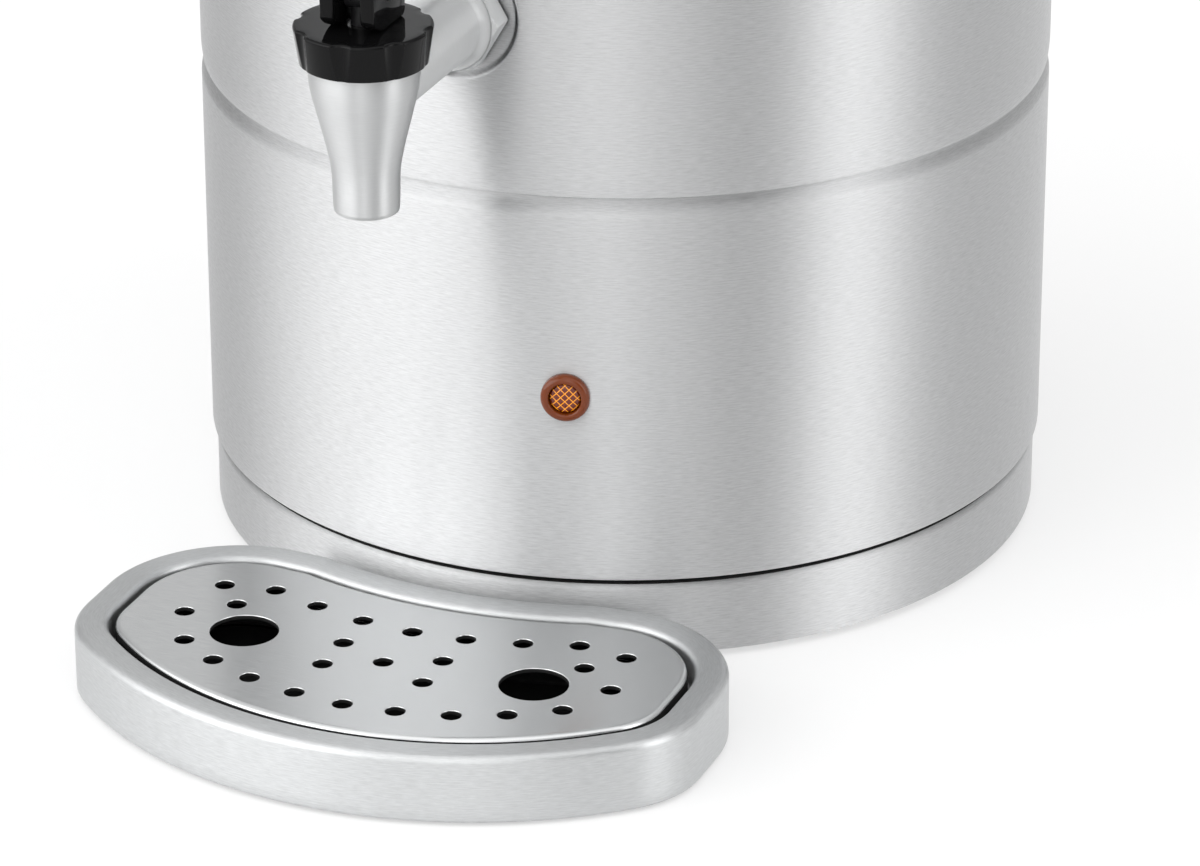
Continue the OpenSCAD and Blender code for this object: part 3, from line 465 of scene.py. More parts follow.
def bow(sign):
    """One handle: a round section carried along the bow, fatter where it meets the wall, with its feet
    drawn onto the round wall."""
    half, reach, bend = HANDLE_HALF, HANDLE_REACH, BEND_R
    start = BODY_R - math.sqrt(BODY_R ** 2 - half ** 2)
    path, swell = [], []
    for x in (-start - 1, 0, 5, 8, 11, 18, reach - bend):
        path.append((BODY_R + x, -half))
        swell.append(12.0 if x < 7 else 12.0 - (x - 7) * 0.95 if x < 11 else GRIP_R)
    for a in np.radians(np.linspace(-90, 0, 12))[1:]:
        path.append((BODY_R + reach - bend + bend * math.cos(a), -half + bend + bend * math.sin(a)))
        swell.append(GRIP_R)
    straight = half - bend
    for y in np.linspace(-straight, straight, 11)[1:-1]:
        path.append((BODY_R + reach, y))
        swell.append(GRIP_R + 0.7 * (1 - (y / straight) ** 2))
    path, swell = np.array(path), np.array(swell)
    mirror = path[:18][::-1] * [1, -1]
    path, swell = np.concatenate([path, mirror]), np.concatenate([swell, swell[:18][::-1]])
    forward = np.gradient(path, axis=0)
    forward /= np.linalg.norm(forward, axis=1, keepdims=True)
    side = np.stack([forward[:, 1], -forward[:, 0]], -1)
    a = np.linspace(0, 2 * np.pi, 40, endpoint=False)
    xy = path[:, None] + side[:, None] * (swell[:, None] * np.cos(a))[..., None]
    z = HANDLE_Z + swell[:, None] * np.sin(a)
    points = np.concatenate([xy, z[..., None]], -1)
    wall = np.hypot(points[..., 0], points[..., 1]) < BODY_R + 0.1
    fit = np.sqrt(np.maximum(BODY_R ** 2 - points[..., 1] ** 2, 0)) + 0.1
    points[..., 0] = np.where(wall, fit, points[..., 0])
    points[..., :2] *= sign
    name = "handle_bow_right" if sign > 0 else "handle_bow_left"
    piece = sheet_mesh(name, points, (np.append(a, 2 * np.pi) * 0.01, running(path)), round_u=True, cap=True)
    paint(piece, gloss_black)
    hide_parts("handle_right" if sign > 0 else "handle_left")
    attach(piece, "urn")


bow(1)
bow(-1)


# ---- Lid ----
# A pressed steel lid with a low dome, a flat seat on the tank's flange and a turned black
# knob. The skirt under it keeps it centred in the tank.
LID_Z = 441.0
DOME_FOOT = 104.0
DOME_RISE = 16.0
dome_r = (DOME_FOOT ** 2 + DOME_RISE ** 2) / (2 * DOME_RISE)
dome = [(r, LID_Z + 1 + DOME_RISE - dome_r + math.sqrt(dome_r ** 2 - r ** 2))
        for r in np.linspace(0, DOME_FOOT - 1, 40)]
lid_line = (
    dome + [(105.5, LID_Z + 1.0), (111.5, LID_Z + 1.0)] + corner_arc((112.2, LID_Z + 0.5), 0.5, 90, -90, 7)
    + [(104.5, LID_Z)] + [(r, z - 1) for r, z in dome[::-1] if r > 0.1])
lid_steel = brushed("spun_sheet", (0.66, 0.66, 0.65, 1), (14, 2600), 0.30, 0.6, 0.25, 0.2)
lid_skin = turn("lid_skin", lid_line, 240, closed=False)
paint(lid_skin, lid_steel)
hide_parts("lid_cap")
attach(lid_skin, "lid")

KNOB_Z = 458.0
knob_line = (
    [(0, 0), (12.6, 0)] + corner_arc((12.6, 0.6), 0.6, -90, 0, 4)
    + [(13.0, 2.4), (11.4, 3.6), (9.9, 5.4), (9.4, 8.0)]
    + corner_arc((14.4, 11.0), 4.8, 200, 120, 8) + corner_arc((16.4, 17.2), 4.6, -70, 0, 8)
    + corner_arc((15.8, 20.8), 5.2, 0, 80, 10) + [(12.0, 26.0), (0, 26.0)])
knob = turn("knob_turned", [(r, z + KNOB_Z) for r, z in knob_line], 96, closed=False)
paint(knob, gloss_black)
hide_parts("lid_knob")
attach(knob, "lid")


# ---- Tap body ----
# One stainless casting: a tapered spout, a round shank and a hexagon flange that a wrench
# holds. It is turned and satin finished, so its grain runs round each axis.
TAP_Y = -177.0
OUTLET_Z = 153.0
VALVE_TOP = 193.8
cast_steel = brushed("satin_casting", (0.595, 0.602, 0.605, 1), (160, 2600), 0.42, 0.95, 0.25, 0.10, 0.04)


def move(points, by):
    return points + np.asarray(by, float)


spout_height = np.array([0.6, 2.5, 4.9, 8, 11.2, 13.5, 15.8, 18.8, 21.8, 25.4, 29, 31.5, 34, 37, 40.8])
spout_radius = np.array(
    [8.5, 8.63, 8.7, 8.75, 8.9, 9.2, 9.65, 10.3, 11.05, 11.95, 12.85, 13.5, 14.0, 14.35, 14.45])
fine_height = np.linspace(0.6, 40.8, 60)
sample_height = np.linspace(-2, 44, 80)
smooth = np.convolve(np.interp(sample_height, spout_height, spout_radius), np.ones(3) / 3, "same")
fine_radius = np.interp(fine_height, sample_height[3:-3], smooth[3:-3])
spout_line = (
    [(5.5, 21.0), (5.5, 0.5)] + corner_arc((6.0, 0.5), 0.5, 180, 270, 4)
    + corner_arc((7.9, 0.6), 0.6, -90, 0, 5) + list(zip(fine_radius, fine_height))
    + [(13.0, 40.8), (13.0, 47.8), (8.5, 47.8), (8.5, 21.0)])
spout = turn("spout_casting", spout_line, 128, change=lambda p: move(p, (0, TAP_Y, OUTLET_Z)))

SHANK_R = 11.0
HEX_FRONT = -126.7


def lay_down(points):
    """A form turned about Z is laid along Y: its height becomes the distance from the urn's axis."""
    laid = np.stack([points[..., 0], -points[..., 2], points[..., 1] + SHANK_Z], -1)
    near = np.hypot(laid[..., 0], laid[..., 1] - TAP_Y) < 18.6
    laid[..., 2] = np.where(near & (laid[..., 2] > VALVE_TOP - 0.1), VALVE_TOP - 0.1, laid[..., 2])
    return laid


shank_line = (
    [(5.5, 90.0), (8.6, 90.0), (9.0, 90.4), (9.0, 118.0), (9.0, 124.0), (11.9, 125.5), (13.4, 126.72)]
    + corner_arc((13.6, 129.3), 2.6, 270, 180, 9) + [(SHANK_R, y) for y in np.linspace(129.8, 176, 60)]
    + [(5.5, 176.0)])
shank = turn("shank_casting", shank_line, 128, change=lay_down)

HEX_HALF = 12.8
hex_angle = np.radians(np.concatenate([np.linspace(-29.7, 29.7, 15) + 60 * k for k in range(6)]) + 30)
flat = HEX_HALF / np.cos(np.radians(np.degrees(hex_angle) % 60 - 30))
flat = np.minimum(flat, HEX_HALF / math.cos(math.radians(29.2)))
hex_front = [np.full_like(flat, 9.5), np.full_like(flat, 11.8)]
hex_y = [0.0, 0.0]
for step in (0.0, 0.35, 0.8, 1.4, 2.2):
    hex_front.append(np.minimum(flat, HEX_HALF + 0.15 + step * 0.95))
    hex_y.append(step)
hex_front += [flat, flat - 0.25, np.full_like(flat, 9.5)]
hex_y += [8.2, 8.5, 8.5]
hex_points = np.stack([
    np.stack([r * np.cos(hex_angle), np.full_like(r, HEX_FRONT + y), SHANK_Z + r * np.sin(hex_angle)], -1)
    for r, y in zip(hex_front, hex_y)])
hex_uv = (np.append(hex_angle - hex_angle[0], 2 * np.pi) * HEX_HALF * MM, np.arange(len(hex_y) + 1) * 2 * MM)
hexagon = sheet_mesh("hexagon_flange", hex_points, hex_uv, round_u=True, round_v=True)
hexagon.data.shade_flat()
for piece in (spout, shank, hexagon):
    paint(piece, cast_steel)
    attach(piece, "urn")
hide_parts("tap_body")


# ---- Bonnet ----
# The black glossy nut on top of the valve body. Eight flutes give the fingers a hold and run
# out towards its lower edge.
BONNET_H = 10.2
BONNET_LOW = 16.55
BONNET_HIGH = 18.1
BONNET_ROUND = 0.8
BONNET_SIDES = 512
STEM_HOLE_R = 3.2
FLUTE_R = 4.5
FLUTE_DEPTH = 1.2
FLUTE_TURN = math.radians(5.3)


def bonnet_radius(angle, height):
    """Cone of the bonnet, cut by leaning cylinders: the smaller of the two, with a soft corner."""
    body = BONNET_LOW + (BONNET_HIGH - BONNET_LOW) * height / BONNET_H
    axis = BONNET_HIGH + FLUTE_R - FLUTE_DEPTH - (BONNET_H - height) * math.tan(math.radians(3))
    turned = (angle + np.pi / 2 - FLUTE_TURN + np.pi / 8) % (np.pi / 4) - np.pi / 8
    inside = FLUTE_R ** 2 - (axis * np.sin(turned)) ** 2
    cut = np.where(inside > 0, axis * np.cos(turned) - np.sqrt(np.maximum(inside, 0)), 99)
    soft = 0.18
    h = np.clip(0.5 + (cut - body) / (2 * soft), 0, 1)
    return np.where(cut > 50, body, cut * (1 - h) + body * h - soft * h * (1 - h))


bonnet_angle = np.linspace(0, 2 * np.pi, BONNET_SIDES, endpoint=False)
bonnet_rows = [(np.full(BONNET_SIDES, r), 0.1) for r in (13.4, 16.2)]
for height in np.concatenate([[0.15, 0.4], np.linspace(0.8, BONNET_H - BONNET_ROUND, 22)]):
    bonnet_rows.append((bonnet_radius(bonnet_angle, height), height))
top_edge = bonnet_radius(bonnet_angle, BONNET_H - BONNET_ROUND)
for a in np.radians(np.linspace(15, 90, 6)):
    bonnet_rows.append((top_edge - BONNET_ROUND * (1 - math.cos(a)),
                        BONNET_H - BONNET_ROUND + BONNET_ROUND * math.sin(a)))
for share in (0.15, 0.35, 0.6, 0.85, 1.0):
    bonnet_rows.append(((top_edge - BONNET_ROUND) * (1 - share) + STEM_HOLE_R * share, BONNET_H))
bonnet_rows += [(np.full(BONNET_SIDES, r), 7.4) for r in (STEM_HOLE_R, 13.4)]
bonnet_points = np.stack([
    np.stack([r * np.cos(bonnet_angle), TAP_Y + r * np.sin(bonnet_angle),
              np.full(BONNET_SIDES, VALVE_TOP + z)], -1)
    for r, z in bonnet_rows])
bonnet_uv = (np.append(bonnet_angle, 2 * np.pi) * 17 * MM, np.arange(len(bonnet_rows) + 1) * MM)
bonnet = sheet_mesh("bonnet_fluted", bonnet_points, bonnet_uv, round_u=True, round_v=True)
paint(bonnet, gloss_black)
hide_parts("tap_bonnet")
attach(bonnet, "urn")


# ---- Lever ----
# A black moulding with two cheeks astride the valve stem. Each cheek ends in a cam that bears
# on the bonnet and lifts the stem as the paddle is pulled forward.
PIN_Z = 212.5
PIN_UP = 8.5
SWING = 50
CAM_RATE = 2.5 / math.radians(SWING)
CHEEK_IN = 3.7
CHEEK_T = 3.8


def cam_line():
    """Side outline of a cheek about the pin: flat foot, then a curve whose distance from the pin grows
    in step with the lever's angle, then the back up to the bridge."""
    a = np.radians(np.linspace(0, SWING, 17))
    reach = PIN_UP - 0.1 + CAM_RATE * a
    y = -reach * np.sin(a) - CAM_RATE * np.cos(a)
    z = -reach * np.cos(a) + CAM_RATE * np.sin(a)
    return np.array([(8.4, 0.1 - PIN_UP)] + list(zip(y, z))
                    + [(y[-1], 2), (-8, 9), (-6, 14), (6, 14), (8, 9), (9.6, 0), (9.6, 1.3 - PIN_UP)])


def cheek(side):
    line = cam_line()
    x = side * (CHEEK_IN + np.array([0, CHEEK_T]))
    rows = np.stack([np.stack([np.full(len(line), v), TAP_Y + line[:, 0], PIN_Z + line[:, 1]], -1)
                     for v in x])
    piece = sheet_mesh("lever_cheek_right" if side > 0 else "lever_cheek_left", rows,
                       (running(line), np.arange(3) * CHEEK_T * MM), round_u=True, cap=True)
    if side > 0:
        piece.data.flip_normals()
    bevel = piece.modifiers.new("edge", "BEVEL")
    bevel.width = 0.9 * MM
    bevel.segments = 4
    bevel.limit_method = "ANGLE"
    bevel.angle_limit = math.radians(40)
    return piece


def paddle_grid():
    """Rounded oblong sections along the leaning arm: half width, half thickness and corner power are
    functions of the distance from the pin."""
    along = np.array([8, 9, 11, 14, 20, 28, 36, 44, 50, 54, 57, 58.6, 59.2, 59.3])
    wide = np.array([8.0, 8.0, 7.9, 7.5, 7.2, 7.8, 9.4, 11.4, 12.0, 11.6, 9.6, 6.6, 3.2, 0.1])
    thick = np.array([5.8, 6.0, 5.8, 5.0, 4.4, 4.0, 3.8, 3.6, 3.5, 3.4, 2.9, 2.1, 1.1, 0.1])
    t = np.linspace(along[0], along[-1], 60)
    wide, thick = np.interp(t, along, wide), np.interp(t, along, thick)
    a = np.linspace(0, 2 * np.pi, 48, endpoint=False)
    round_x = np.sign(np.cos(a)) * np.abs(np.cos(a)) ** 0.6
    round_y = np.sign(np.sin(a)) * np.abs(np.sin(a)) ** 0.6
    x, y = wide[:, None] * round_x, thick[:, None] * round_y
    lean = math.radians(16)
    z = np.repeat(t[:, None], 48, 1)
    return np.stack([x, TAP_Y + y * math.cos(lean) - z * math.sin(lean),
                     PIN_Z + y * math.sin(lean) + z * math.cos(lean)], -1), a, t


paddle_points, paddle_a, paddle_t = paddle_grid()
paddle = sheet_mesh("lever_paddle", paddle_points,
                    (np.append(paddle_a, 2 * np.pi) * 8 * MM, np.append(paddle_t, 60) * MM),
                    round_u=True, cap=True)
for piece in (cheek(1), cheek(-1), paddle):
    paint(piece, gloss_black)
    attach(piece, "lever")
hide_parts("tap_lever")


# ---- Drip tray ----
# Deep-drawn steel with a wide rolled rim. It stands loose in front of the urn, and its hollow
# back edge follows the base. Its outline is a set of arcs that shrink together with the inset.
TRAY_H = 20.4
EDGE_R = 2.2
TRAY_X = -0.7
FRONT = (0.0, -103.2, 118.4)
CORNER = (60.0, 30.0)
LOBE = (52.4, -154.6, 37.6)
HOLLOW_R = 124.4


def tray_outline(inset):
    """Closed outline, counter-clockwise from the front middle: front arc, front corner, rear lobe, a short
    straight, the hollow arc, and the same mirrored."""
    def arc(cx, cy, r, start, end, count):
        t = np.radians(np.linspace(start, end, count + 1))
        return np.stack([cx + r * np.cos(t), cy + r * np.sin(t)], -1)
    corner_y = FRONT[1] - math.sqrt((FRONT[2] - CORNER[1]) ** 2 - CORNER[0] ** 2)
    bend = math.degrees(math.atan2(corner_y - FRONT[1], CORNER[0]))
    rear_y, rear_r = LOBE[1] + LOBE[2] - inset, HOLLOW_R + inset
    start = -math.degrees(math.acos(math.sqrt(rear_r ** 2 - rear_y ** 2) / rear_r))
    half = np.concatenate([
        arc(FRONT[0], FRONT[1], FRONT[2] - inset, -90, bend, 24),
        arc(CORNER[0], corner_y, CORNER[1] - inset, bend, 0, 10)[1:],
        arc(LOBE[0], LOBE[1], LOBE[2] - inset, 0, 90, 20),
        arc(0, 0, rear_r, start, -90, 16)[1:]])
    return np.concatenate([half, half[-2:0:-1] * [-1, 1]]) + [TRAY_X, 0]


def carry_round(name, section, cap):
    """A section of (inset, height) points carried round the outline."""
    rows = [np.column_stack([tray_outline(i), np.full(len(tray_outline(i)), z)]) for i, z in section]
    points = np.stack(rows)
    around = running(tray_outline(0))
    return sheet_mesh(name, points, (around, running(np.array(section))), round_u=True, cap=cap)


tray_section = (
    [(17.0, 2.2), (14.2, 2.2)] + corner_arc((14.2, 3.0), 0.8, 270, 180, 5) + [(13.4, 10.6)]
    + corner_arc((12.8, 10.4), 0.6, 0, 90, 4) + [(9.8, 11.0), (9.2, 11.4), (9.2, 15.0), (9.2, 18.4)]
    + [(7.4 + 1.8 * math.cos(a), TRAY_H - 2.0 + 1.8 * math.sin(a)) for a in np.radians(np.linspace(10, 85, 8))]
    + [(6.2, TRAY_H - 0.06), (4.4, TRAY_H)]
    + [(EDGE_R - EDGE_R * math.sin(a), TRAY_H - EDGE_R + EDGE_R * math.cos(a))
       for a in np.radians(np.linspace(4, 90, 12))]
    + [(0.0, 10.0), (0.0, 5.0), (0.0, 2.0), (0.3, 1.2), (0.9, 1.0), (1.2, 1.4), (1.2, 6.0), (1.2, 16.0)]
    + [(2.2, 18.6), (4.0, 19.2), (7.2, 19.2), (8.0, 18.0), (8.0, 9.8), (12.2, 9.8), (12.2, 1.0), (18.0, 1.0)])
tray_steel = brushed("tray_sheet", (0.61, 0.62, 0.625, 1), (260, 2600), 0.42, 0.75, 0.25, 0.22)
# Painted shade for the basin's floor and inner wall under the plate, and for the plate's upright edges and
# holes
tray_painted_shade = painted_shade("tray_painted_shade", (0.02, 0.02, 0.02, 1))
tray_skin = carry_round("tray_skin", tray_section, cap=True)
paint(tray_skin, tray_steel, tray_painted_shade)
# Painted shade: the first rows of the section, from the floor's edge up under the plate, and the floor
SHADED_ROWS = 11
shaded_faces = np.zeros(len(tray_skin.data.polygons), np.int32)
shaded_faces[:SHADED_ROWS * len(tray_outline(0))] = 1
shaded_faces[-2] = 1
tray_skin.data.polygons.foreach_set("material_index", shaded_faces)
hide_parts("tray_basin")
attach(tray_skin, "tray")


# ---- Grid plate ----
# A polished plate that drops into the tray, with drain holes along its edge and two finger
# holes to lift it by. Its edge is rolled down and stands on the tray's ledge.
GRID_TOP = 20.0
GRID_T = 1.4
GRID_INSET = 11.0
GRID_EDGE = 1.6
LEDGE_Z = 11.0
DRAIN_R = 2.7
FINGER_R = 9.35
FINGER_PLACE = (42.4, -168)
drains = [(14.6, -195.8), (29.2, -192.5), (42.7, -186.7), (55.1, -178.8), (62.5, -163.4), (59.4, -144.6),
          (45.0, -142.4), (30.4, -146.9), (15.2, -150.4), (51.2, -154.2), (14.6, -178), (14.6, -164.5)]
middle_drains = [(0, -197.2), (0, -171), (0, -151.7)]


def plate_curve(name, rings, low, high, edge):
    """A flat filled curve with holes, given a thickness and a rounded edge, as a mesh."""
    curve = bpy.data.curves.new(name, "CURVE")
    curve.dimensions = "2D"
    curve.fill_mode = "BOTH"
    for ring in rings:
        spline = curve.splines.new("POLY")
        spline.points.add(len(ring) - 1)
        flat_points = np.column_stack([ring * MM, np.zeros(len(ring)), np.ones(len(ring))])
        spline.points.foreach_set("co", flat_points.ravel())
        spline.use_cyclic_u = True
    curve.extrude = ((high - low) / 2 - edge) * MM
    curve.bevel_depth = edge * MM
    curve.bevel_resolution = 2
    curve.offset = -edge * MM
    holder = bpy.data.objects.new(name, curve)
    bpy.context.scene.collection.objects.link(holder)
    bpy.context.view_layer.update()
    mesh = bpy.data.meshes.new_from_object(holder)
    bpy.data.objects.remove(holder)
    place = np.empty(len(mesh.vertices) * 3)
    mesh.vertices.foreach_get("co", place)
    place = place.reshape(-1, 3) + [0, 0, (low + high) / 2 * MM]
    mesh.vertices.foreach_set("co", place.ravel())
    which = np.empty(len(mesh.loops), int)
    mesh.loops.foreach_get("vertex_index", which)
    mesh.uv_layers.new(name="grain").data.foreach_set("uv", place[which][:, :2].ravel().astype(np.float32))
    mesh.shade_smooth()
    return link(name, mesh)


def circle(x, y, r, count):
    t = np.linspace(0, 2 * np.pi, count, endpoint=False)
    return np.stack([x + r * np.cos(t), y + r * np.sin(t)], -1)


holes = [circle(s * x + TRAY_X, y, DRAIN_R, 40) for x, y in drains for s in (-1, 1)]
holes += [circle(x + TRAY_X, y, DRAIN_R, 40) for x, y in middle_drains]
holes += [circle(s * FINGER_PLACE[0] + TRAY_X, FINGER_PLACE[1], FINGER_R, 72) for s in (-1, 1)]
plate = plate_curve("grid_plate_top", [tray_outline(GRID_INSET + GRID_EDGE)] + holes,
                    GRID_TOP - GRID_T, GRID_TOP, 0.25)
lip_section = (
    [(GRID_INSET + GRID_EDGE + 0.25, GRID_TOP)]
    + [(GRID_INSET + GRID_EDGE * (1 - math.sin(a)), GRID_TOP - GRID_EDGE * (1 - math.cos(a)))
       for a in np.radians(np.linspace(0, 90, 10))]
    + [(GRID_INSET, 14.0), (GRID_INSET, LEDGE_Z), (GRID_INSET + GRID_T, LEDGE_Z), (GRID_INSET + GRID_T, 16.0),
       (GRID_INSET + GRID_EDGE + 0.25, GRID_TOP - GRID_T)])
lip = carry_round("grid_plate_lip", lip_section, cap=False)
plate_steel = brushed("plate_polish", (0.66, 0.67, 0.675, 1), (150, 2600), 0.20, 0.85, 0.25, 0.10, 0.05)
for piece in (plate, lip):
    paint(piece, plate_steel, tray_painted_shade)
    # Upright faces below the plate's top, round its edge and in its holes, get painted shade
    upright = np.array([abs(face.normal.z) < 0.35 and face.center.z < (GRID_TOP - 0.3) * MM
                        for face in piece.data.polygons])
    piece.data.polygons.foreach_set("material_index", upright.astype(np.int32))
    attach(piece, "grid")
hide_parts("tray_grid")


# ---- Pieces inside, behind and below ----
# The sheet, cast and moulded pieces whose solids already have their shape get their finishes
# here: tank and linings, heating parts, mains inlet and switch, fasteners, seals and feet.
def plain_metal(name, colour, roughness, scale):
    """Metal without a grain: blotches of colour and roughness on the piece's own place."""
    material, tree, shader = nodes_of(name)
    place = tree.nodes.new("ShaderNodeTexCoord")
    blotch = tree.nodes.new("ShaderNodeTexNoise")
    blotch.inputs["Scale"].default_value = scale
    blotch.inputs["Detail"].default_value = 5.0
    tree.links.new(place.outputs["Object"], blotch.inputs["Vector"])
    rough = tree.nodes.new("ShaderNodeMapRange")
    rough.inputs["To Min"].default_value = roughness * 0.75
    rough.inputs["To Max"].default_value = roughness * 1.25
    tree.links.new(blotch.outputs["Fac"], rough.inputs["Value"])
    tree.links.new(rough.outputs["Result"], shader.inputs["Roughness"])
    blend = tree.nodes.new("ShaderNodeMix")
    blend.data_type = "RGBA"
    blend.inputs["A"].default_value = tuple(c * 0.85 for c in colour[:3]) + (1,)
    blend.inputs["B"].default_value = colour
    tree.links.new(blotch.outputs["Fac"], blend.inputs["Factor"])
    tree.links.new(blend.outputs["Result"], shader.inputs["Base Color"])
    shader.inputs["Metallic"].default_value = 1.0
    return material


def dull(name, colour, roughness, scale):
    """Rubber, silicone and ceramic: a matte body with a fine mottle and a fine relief."""
    material, tree, shader = nodes_of(name)
    place = tree.nodes.new("ShaderNodeTexCoord")
    grain = tree.nodes.new("ShaderNodeTexNoise")
    grain.inputs["Scale"].default_value = scale
    tree.links.new(place.outputs["Object"], grain.inputs["Vector"])
    blend = tree.nodes.new("ShaderNodeMix")
    blend.data_type = "RGBA"
    blend.inputs["A"].default_value = tuple(c * 0.7 for c in colour[:3]) + (1,)
    blend.inputs["B"].default_value = colour
    tree.links.new(grain.outputs["Fac"], blend.inputs["Factor"])
    tree.links.new(blend.outputs["Result"], shader.inputs["Base Color"])
    relief = tree.nodes.new("ShaderNodeBump")
    relief.inputs["Strength"].default_value = 0.3
    relief.inputs["Distance"].default_value = 0.0001
    tree.links.new(grain.outputs["Fac"], relief.inputs["Height"])
    tree.links.new(relief.outputs["Normal"], shader.inputs["Normal"])
    shader.inputs["Roughness"].default_value = roughness
    return material


tank_steel = plain_metal("tank_steel", (0.60, 0.60, 0.60, 1), 0.32, 60)
zinc = plain_metal("zinc_plate", (0.62, 0.63, 0.62, 1), 0.30, 900)
brass = plain_metal("pin_brass", (0.70, 0.52, 0.25, 1), 0.28, 900)
aluminium = plain_metal("cast_aluminium", (0.66, 0.66, 0.67, 1), 0.42, 400)
sheath = plain_metal("element_sheath", (0.20, 0.20, 0.21, 1), 0.45, 500)
rubber = dull("black_rubber", (0.02, 0.02, 0.02, 1), 0.8, 1500)
silicone = dull("grey_silicone", (0.55, 0.53, 0.50, 1), 0.5, 1500)
ceramic = dull("ceramic_body", (0.80, 0.77, 0.70, 1), 0.55, 900)
red_plastic = tinted_plastic("red_rocker", (0.35, 0.012, 0.010, 1), 0.2, 0.5)
finishes = [
    (tank_steel, ["inner_tank", "lid_liner"]),
    (zinc, ["bottom_cover", "bottom_screws", "inlet_screws", "handle_screws", "knob_screw",
            "valve_spring", "pilot_nut", "lock_nut", "wall_spacer"]),
    (brass, ["inlet_pins"]),
    (aluminium, ["heater_plate"]),
    (sheath, ["heating_element"]),
    (rubber, ["rubber_feet", "outer_gasket", "tray_feet"]),
    (silicone, ["inner_gasket", "seat_cup"]),
    (ceramic, ["thermostat", "thermal_cutout"]),
    (red_plastic, ["switch_rocker"]),
    (satin_black, ["mains_inlet", "switch_housing", "pilot_body", "lever_pin", "valve_stem"]),
]
for finish, names in finishes:
    for name in names:
        paint(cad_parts[name], finish)


# ---- Studio ----
# A plain white floor under a white tent. Strips of light and dark panels hang round the tent at
# the height of the urn, so that its wall mirrors slow vertical bands. The camera sees plain white.
floor = link("floor", bpy.data.meshes.new("floor"))
FLOOR_HALF = 6
floor.data.from_pydata([(-FLOOR_HALF, -FLOOR_HALF, 0), (FLOOR_HALF, -FLOOR_HALF, 0),
                        (FLOOR_HALF, FLOOR_HALF, 0), (-FLOOR_HALF, FLOOR_HALF, 0)], [], [(0, 1, 2, 3)])
floor_material, floor_tree, floor_shader = nodes_of("studio_floor")
floor_shader.inputs["Base Color"].default_value = (0.92, 0.92, 0.92, 1)
floor_shader.inputs["Roughness"].default_value = 0.9
floor_shader.inputs["Specular IOR Level"].default_value = 0.1
ray = floor_tree.nodes.new("ShaderNodeLightPath")
seen = floor_tree.nodes.new("ShaderNodeMath")
seen.operation = "MAXIMUM"
floor_tree.links.new(ray.outputs["Is Camera Ray"], seen.inputs[0])
floor_tree.links.new(ray.outputs["Is Glossy Ray"], seen.inputs[1])
seen_through = floor_tree.nodes.new("ShaderNodeMath")
seen_through.operation = "MAXIMUM"
floor_tree.links.new(seen.outputs["Value"], seen_through.inputs[0])
floor_tree.links.new(ray.outputs["Is Transmission Ray"], seen_through.inputs[1])
lift = floor_tree.nodes.new("ShaderNodeMath")
lift.operation = "MULTIPLY"
lift.inputs[1].default_value = 0.5
floor_tree.links.new(seen_through.outputs["Value"], lift.inputs[0])
white = floor_tree.nodes.new("ShaderNodeEmission")
white.inputs["Strength"].default_value = 1.0
lifted = floor_tree.nodes.new("ShaderNodeMixShader")
floor_tree.links.new(lift.outputs["Value"], lifted.inputs["Fac"])
floor_tree.links.new(floor_shader.outputs["BSDF"], lifted.inputs[1])
floor_tree.links.new(white.outputs["Emission"], lifted.inputs[2])
floor_out = next(node for node in floor_tree.nodes if node.bl_idname == "ShaderNodeOutputMaterial")
floor_tree.links.new(lifted.outputs["Shader"], floor_out.inputs["Surface"])
paint(floor, floor_material)

world = bpy.data.worlds.new("studio")
world.use_nodes = True
bpy.context.scene.world = world
world_nodes, world_links = world.node_tree.nodes, world.node_tree.links
world_nodes.clear()
world_out = world_nodes.new("ShaderNodeOutputWorld")
background = world_nodes.new("ShaderNodeBackground")
world_links.new(background.outputs["Background"], world_out.inputs["Surface"])
PANEL_TOP = 3.6
panels = [(-180, 0.7), (-150, 0.6), (-125, 0.35), (-105, 1.7), (-85, 2.9), (-65, 3.4), (-50, 3.4), (-38, 2.8),
          (-28, 1.6), (-19, 0.9), (-7, 2.6), (4, 1.3), (18, 0.7), (28, 0.0), (38, 0.1), (46, 0.7), (56, 3.0),
          (66, 3.4), (80, 1.1), (95, 0.55), (120, 0.6), (150, 0.8), (180, 0.7)]
direction = world_nodes.new("ShaderNodeTexCoord")
turn_back = world_nodes.new("ShaderNodeMapping")
turn_back.inputs["Rotation"].default_value = (0, 0, -CAMERA_AZIMUTH)
world_links.new(direction.outputs["Generated"], turn_back.inputs["Vector"])
parts = world_nodes.new("ShaderNodeSeparateXYZ")
world_links.new(turn_back.outputs["Vector"], parts.inputs["Vector"])
forward = world_nodes.new("ShaderNodeMath")
forward.operation = "MULTIPLY"
forward.inputs[1].default_value = -1.0
world_links.new(parts.outputs["Y"], forward.inputs[0])
around = world_nodes.new("ShaderNodeMath")
around.operation = "ARCTAN2"
world_links.new(parts.outputs["X"], around.inputs[0])
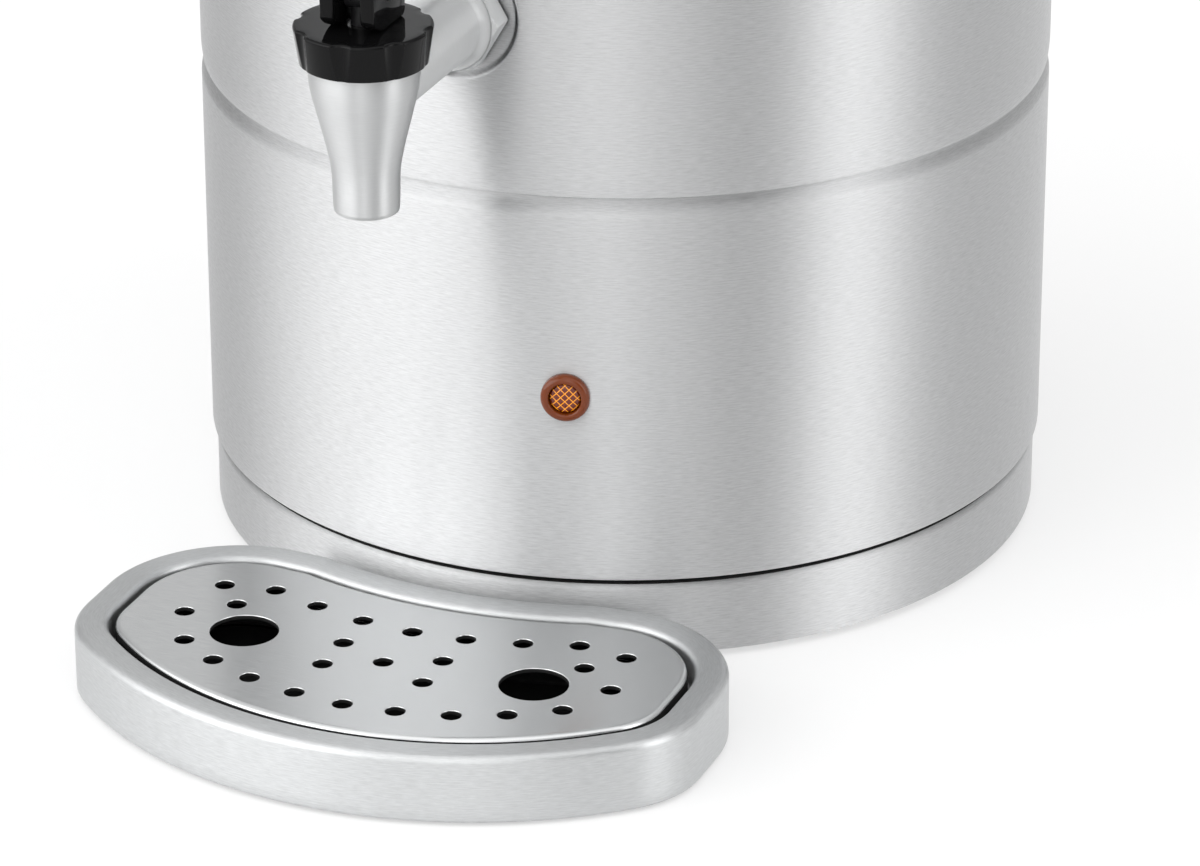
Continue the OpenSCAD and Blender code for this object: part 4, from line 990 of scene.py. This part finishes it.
world_links.new(forward.outputs["Value"], around.inputs[1])
share = world_nodes.new("ShaderNodeMapRange")
share.inputs["From Min"].default_value = -math.pi
share.inputs["From Max"].default_value = math.pi
world_links.new(around.outputs["Value"], share.inputs["Value"])
ramp = world_nodes.new("ShaderNodeValToRGB")
ramp.color_ramp.interpolation = "B_SPLINE"
for angle, light in panels[1:-1]:
    ramp.color_ramp.elements.new((angle + 180) / 360)
for element, (angle, light) in zip(ramp.color_ramp.elements, panels):
    element.position = (angle + 180) / 360
    element.color = (light / PANEL_TOP,) * 3 + (1,)
world_links.new(share.outputs["Result"], ramp.inputs["Fac"])
overhead = world_nodes.new("ShaderNodeMapRange")
overhead.interpolation_type = "SMOOTHSTEP"
overhead.inputs["From Min"].default_value = 0.45
overhead.inputs["From Max"].default_value = 0.80
world_links.new(parts.outputs["Z"], overhead.inputs["Value"])
tent = world_nodes.new("ShaderNodeMix")
tent.data_type = "RGBA"
front_light = world_nodes.new("ShaderNodeMapRange")
front_light.interpolation_type = "SMOOTHSTEP"
front_light.inputs["From Min"].default_value = -0.3
front_light.inputs["From Max"].default_value = 0.5
front_light.inputs["To Min"].default_value = 0.9 / PANEL_TOP
front_light.inputs["To Max"].default_value = 1.5 / PANEL_TOP
world_links.new(forward.outputs["Value"], front_light.inputs["Value"])
world_links.new(front_light.outputs["Result"], tent.inputs["B"])
world_links.new(overhead.outputs["Result"], tent.inputs["Factor"])
world_links.new(ramp.outputs["Color"], tent.inputs["A"])
backdrop_ray = world_nodes.new("ShaderNodeLightPath")
backdrop = world_nodes.new("ShaderNodeMix")
backdrop.data_type = "RGBA"
backdrop.inputs["B"].default_value = (1.0 / PANEL_TOP,) * 3 + (1,)
world_links.new(backdrop_ray.outputs["Is Camera Ray"], backdrop.inputs["Factor"])
world_links.new(tent.outputs["Result"], backdrop.inputs["A"])
world_links.new(backdrop.outputs["Result"], background.inputs["Color"])
background.inputs["Strength"].default_value = PANEL_TOP

bpy.context.scene.view_settings.view_transform = "Standard"
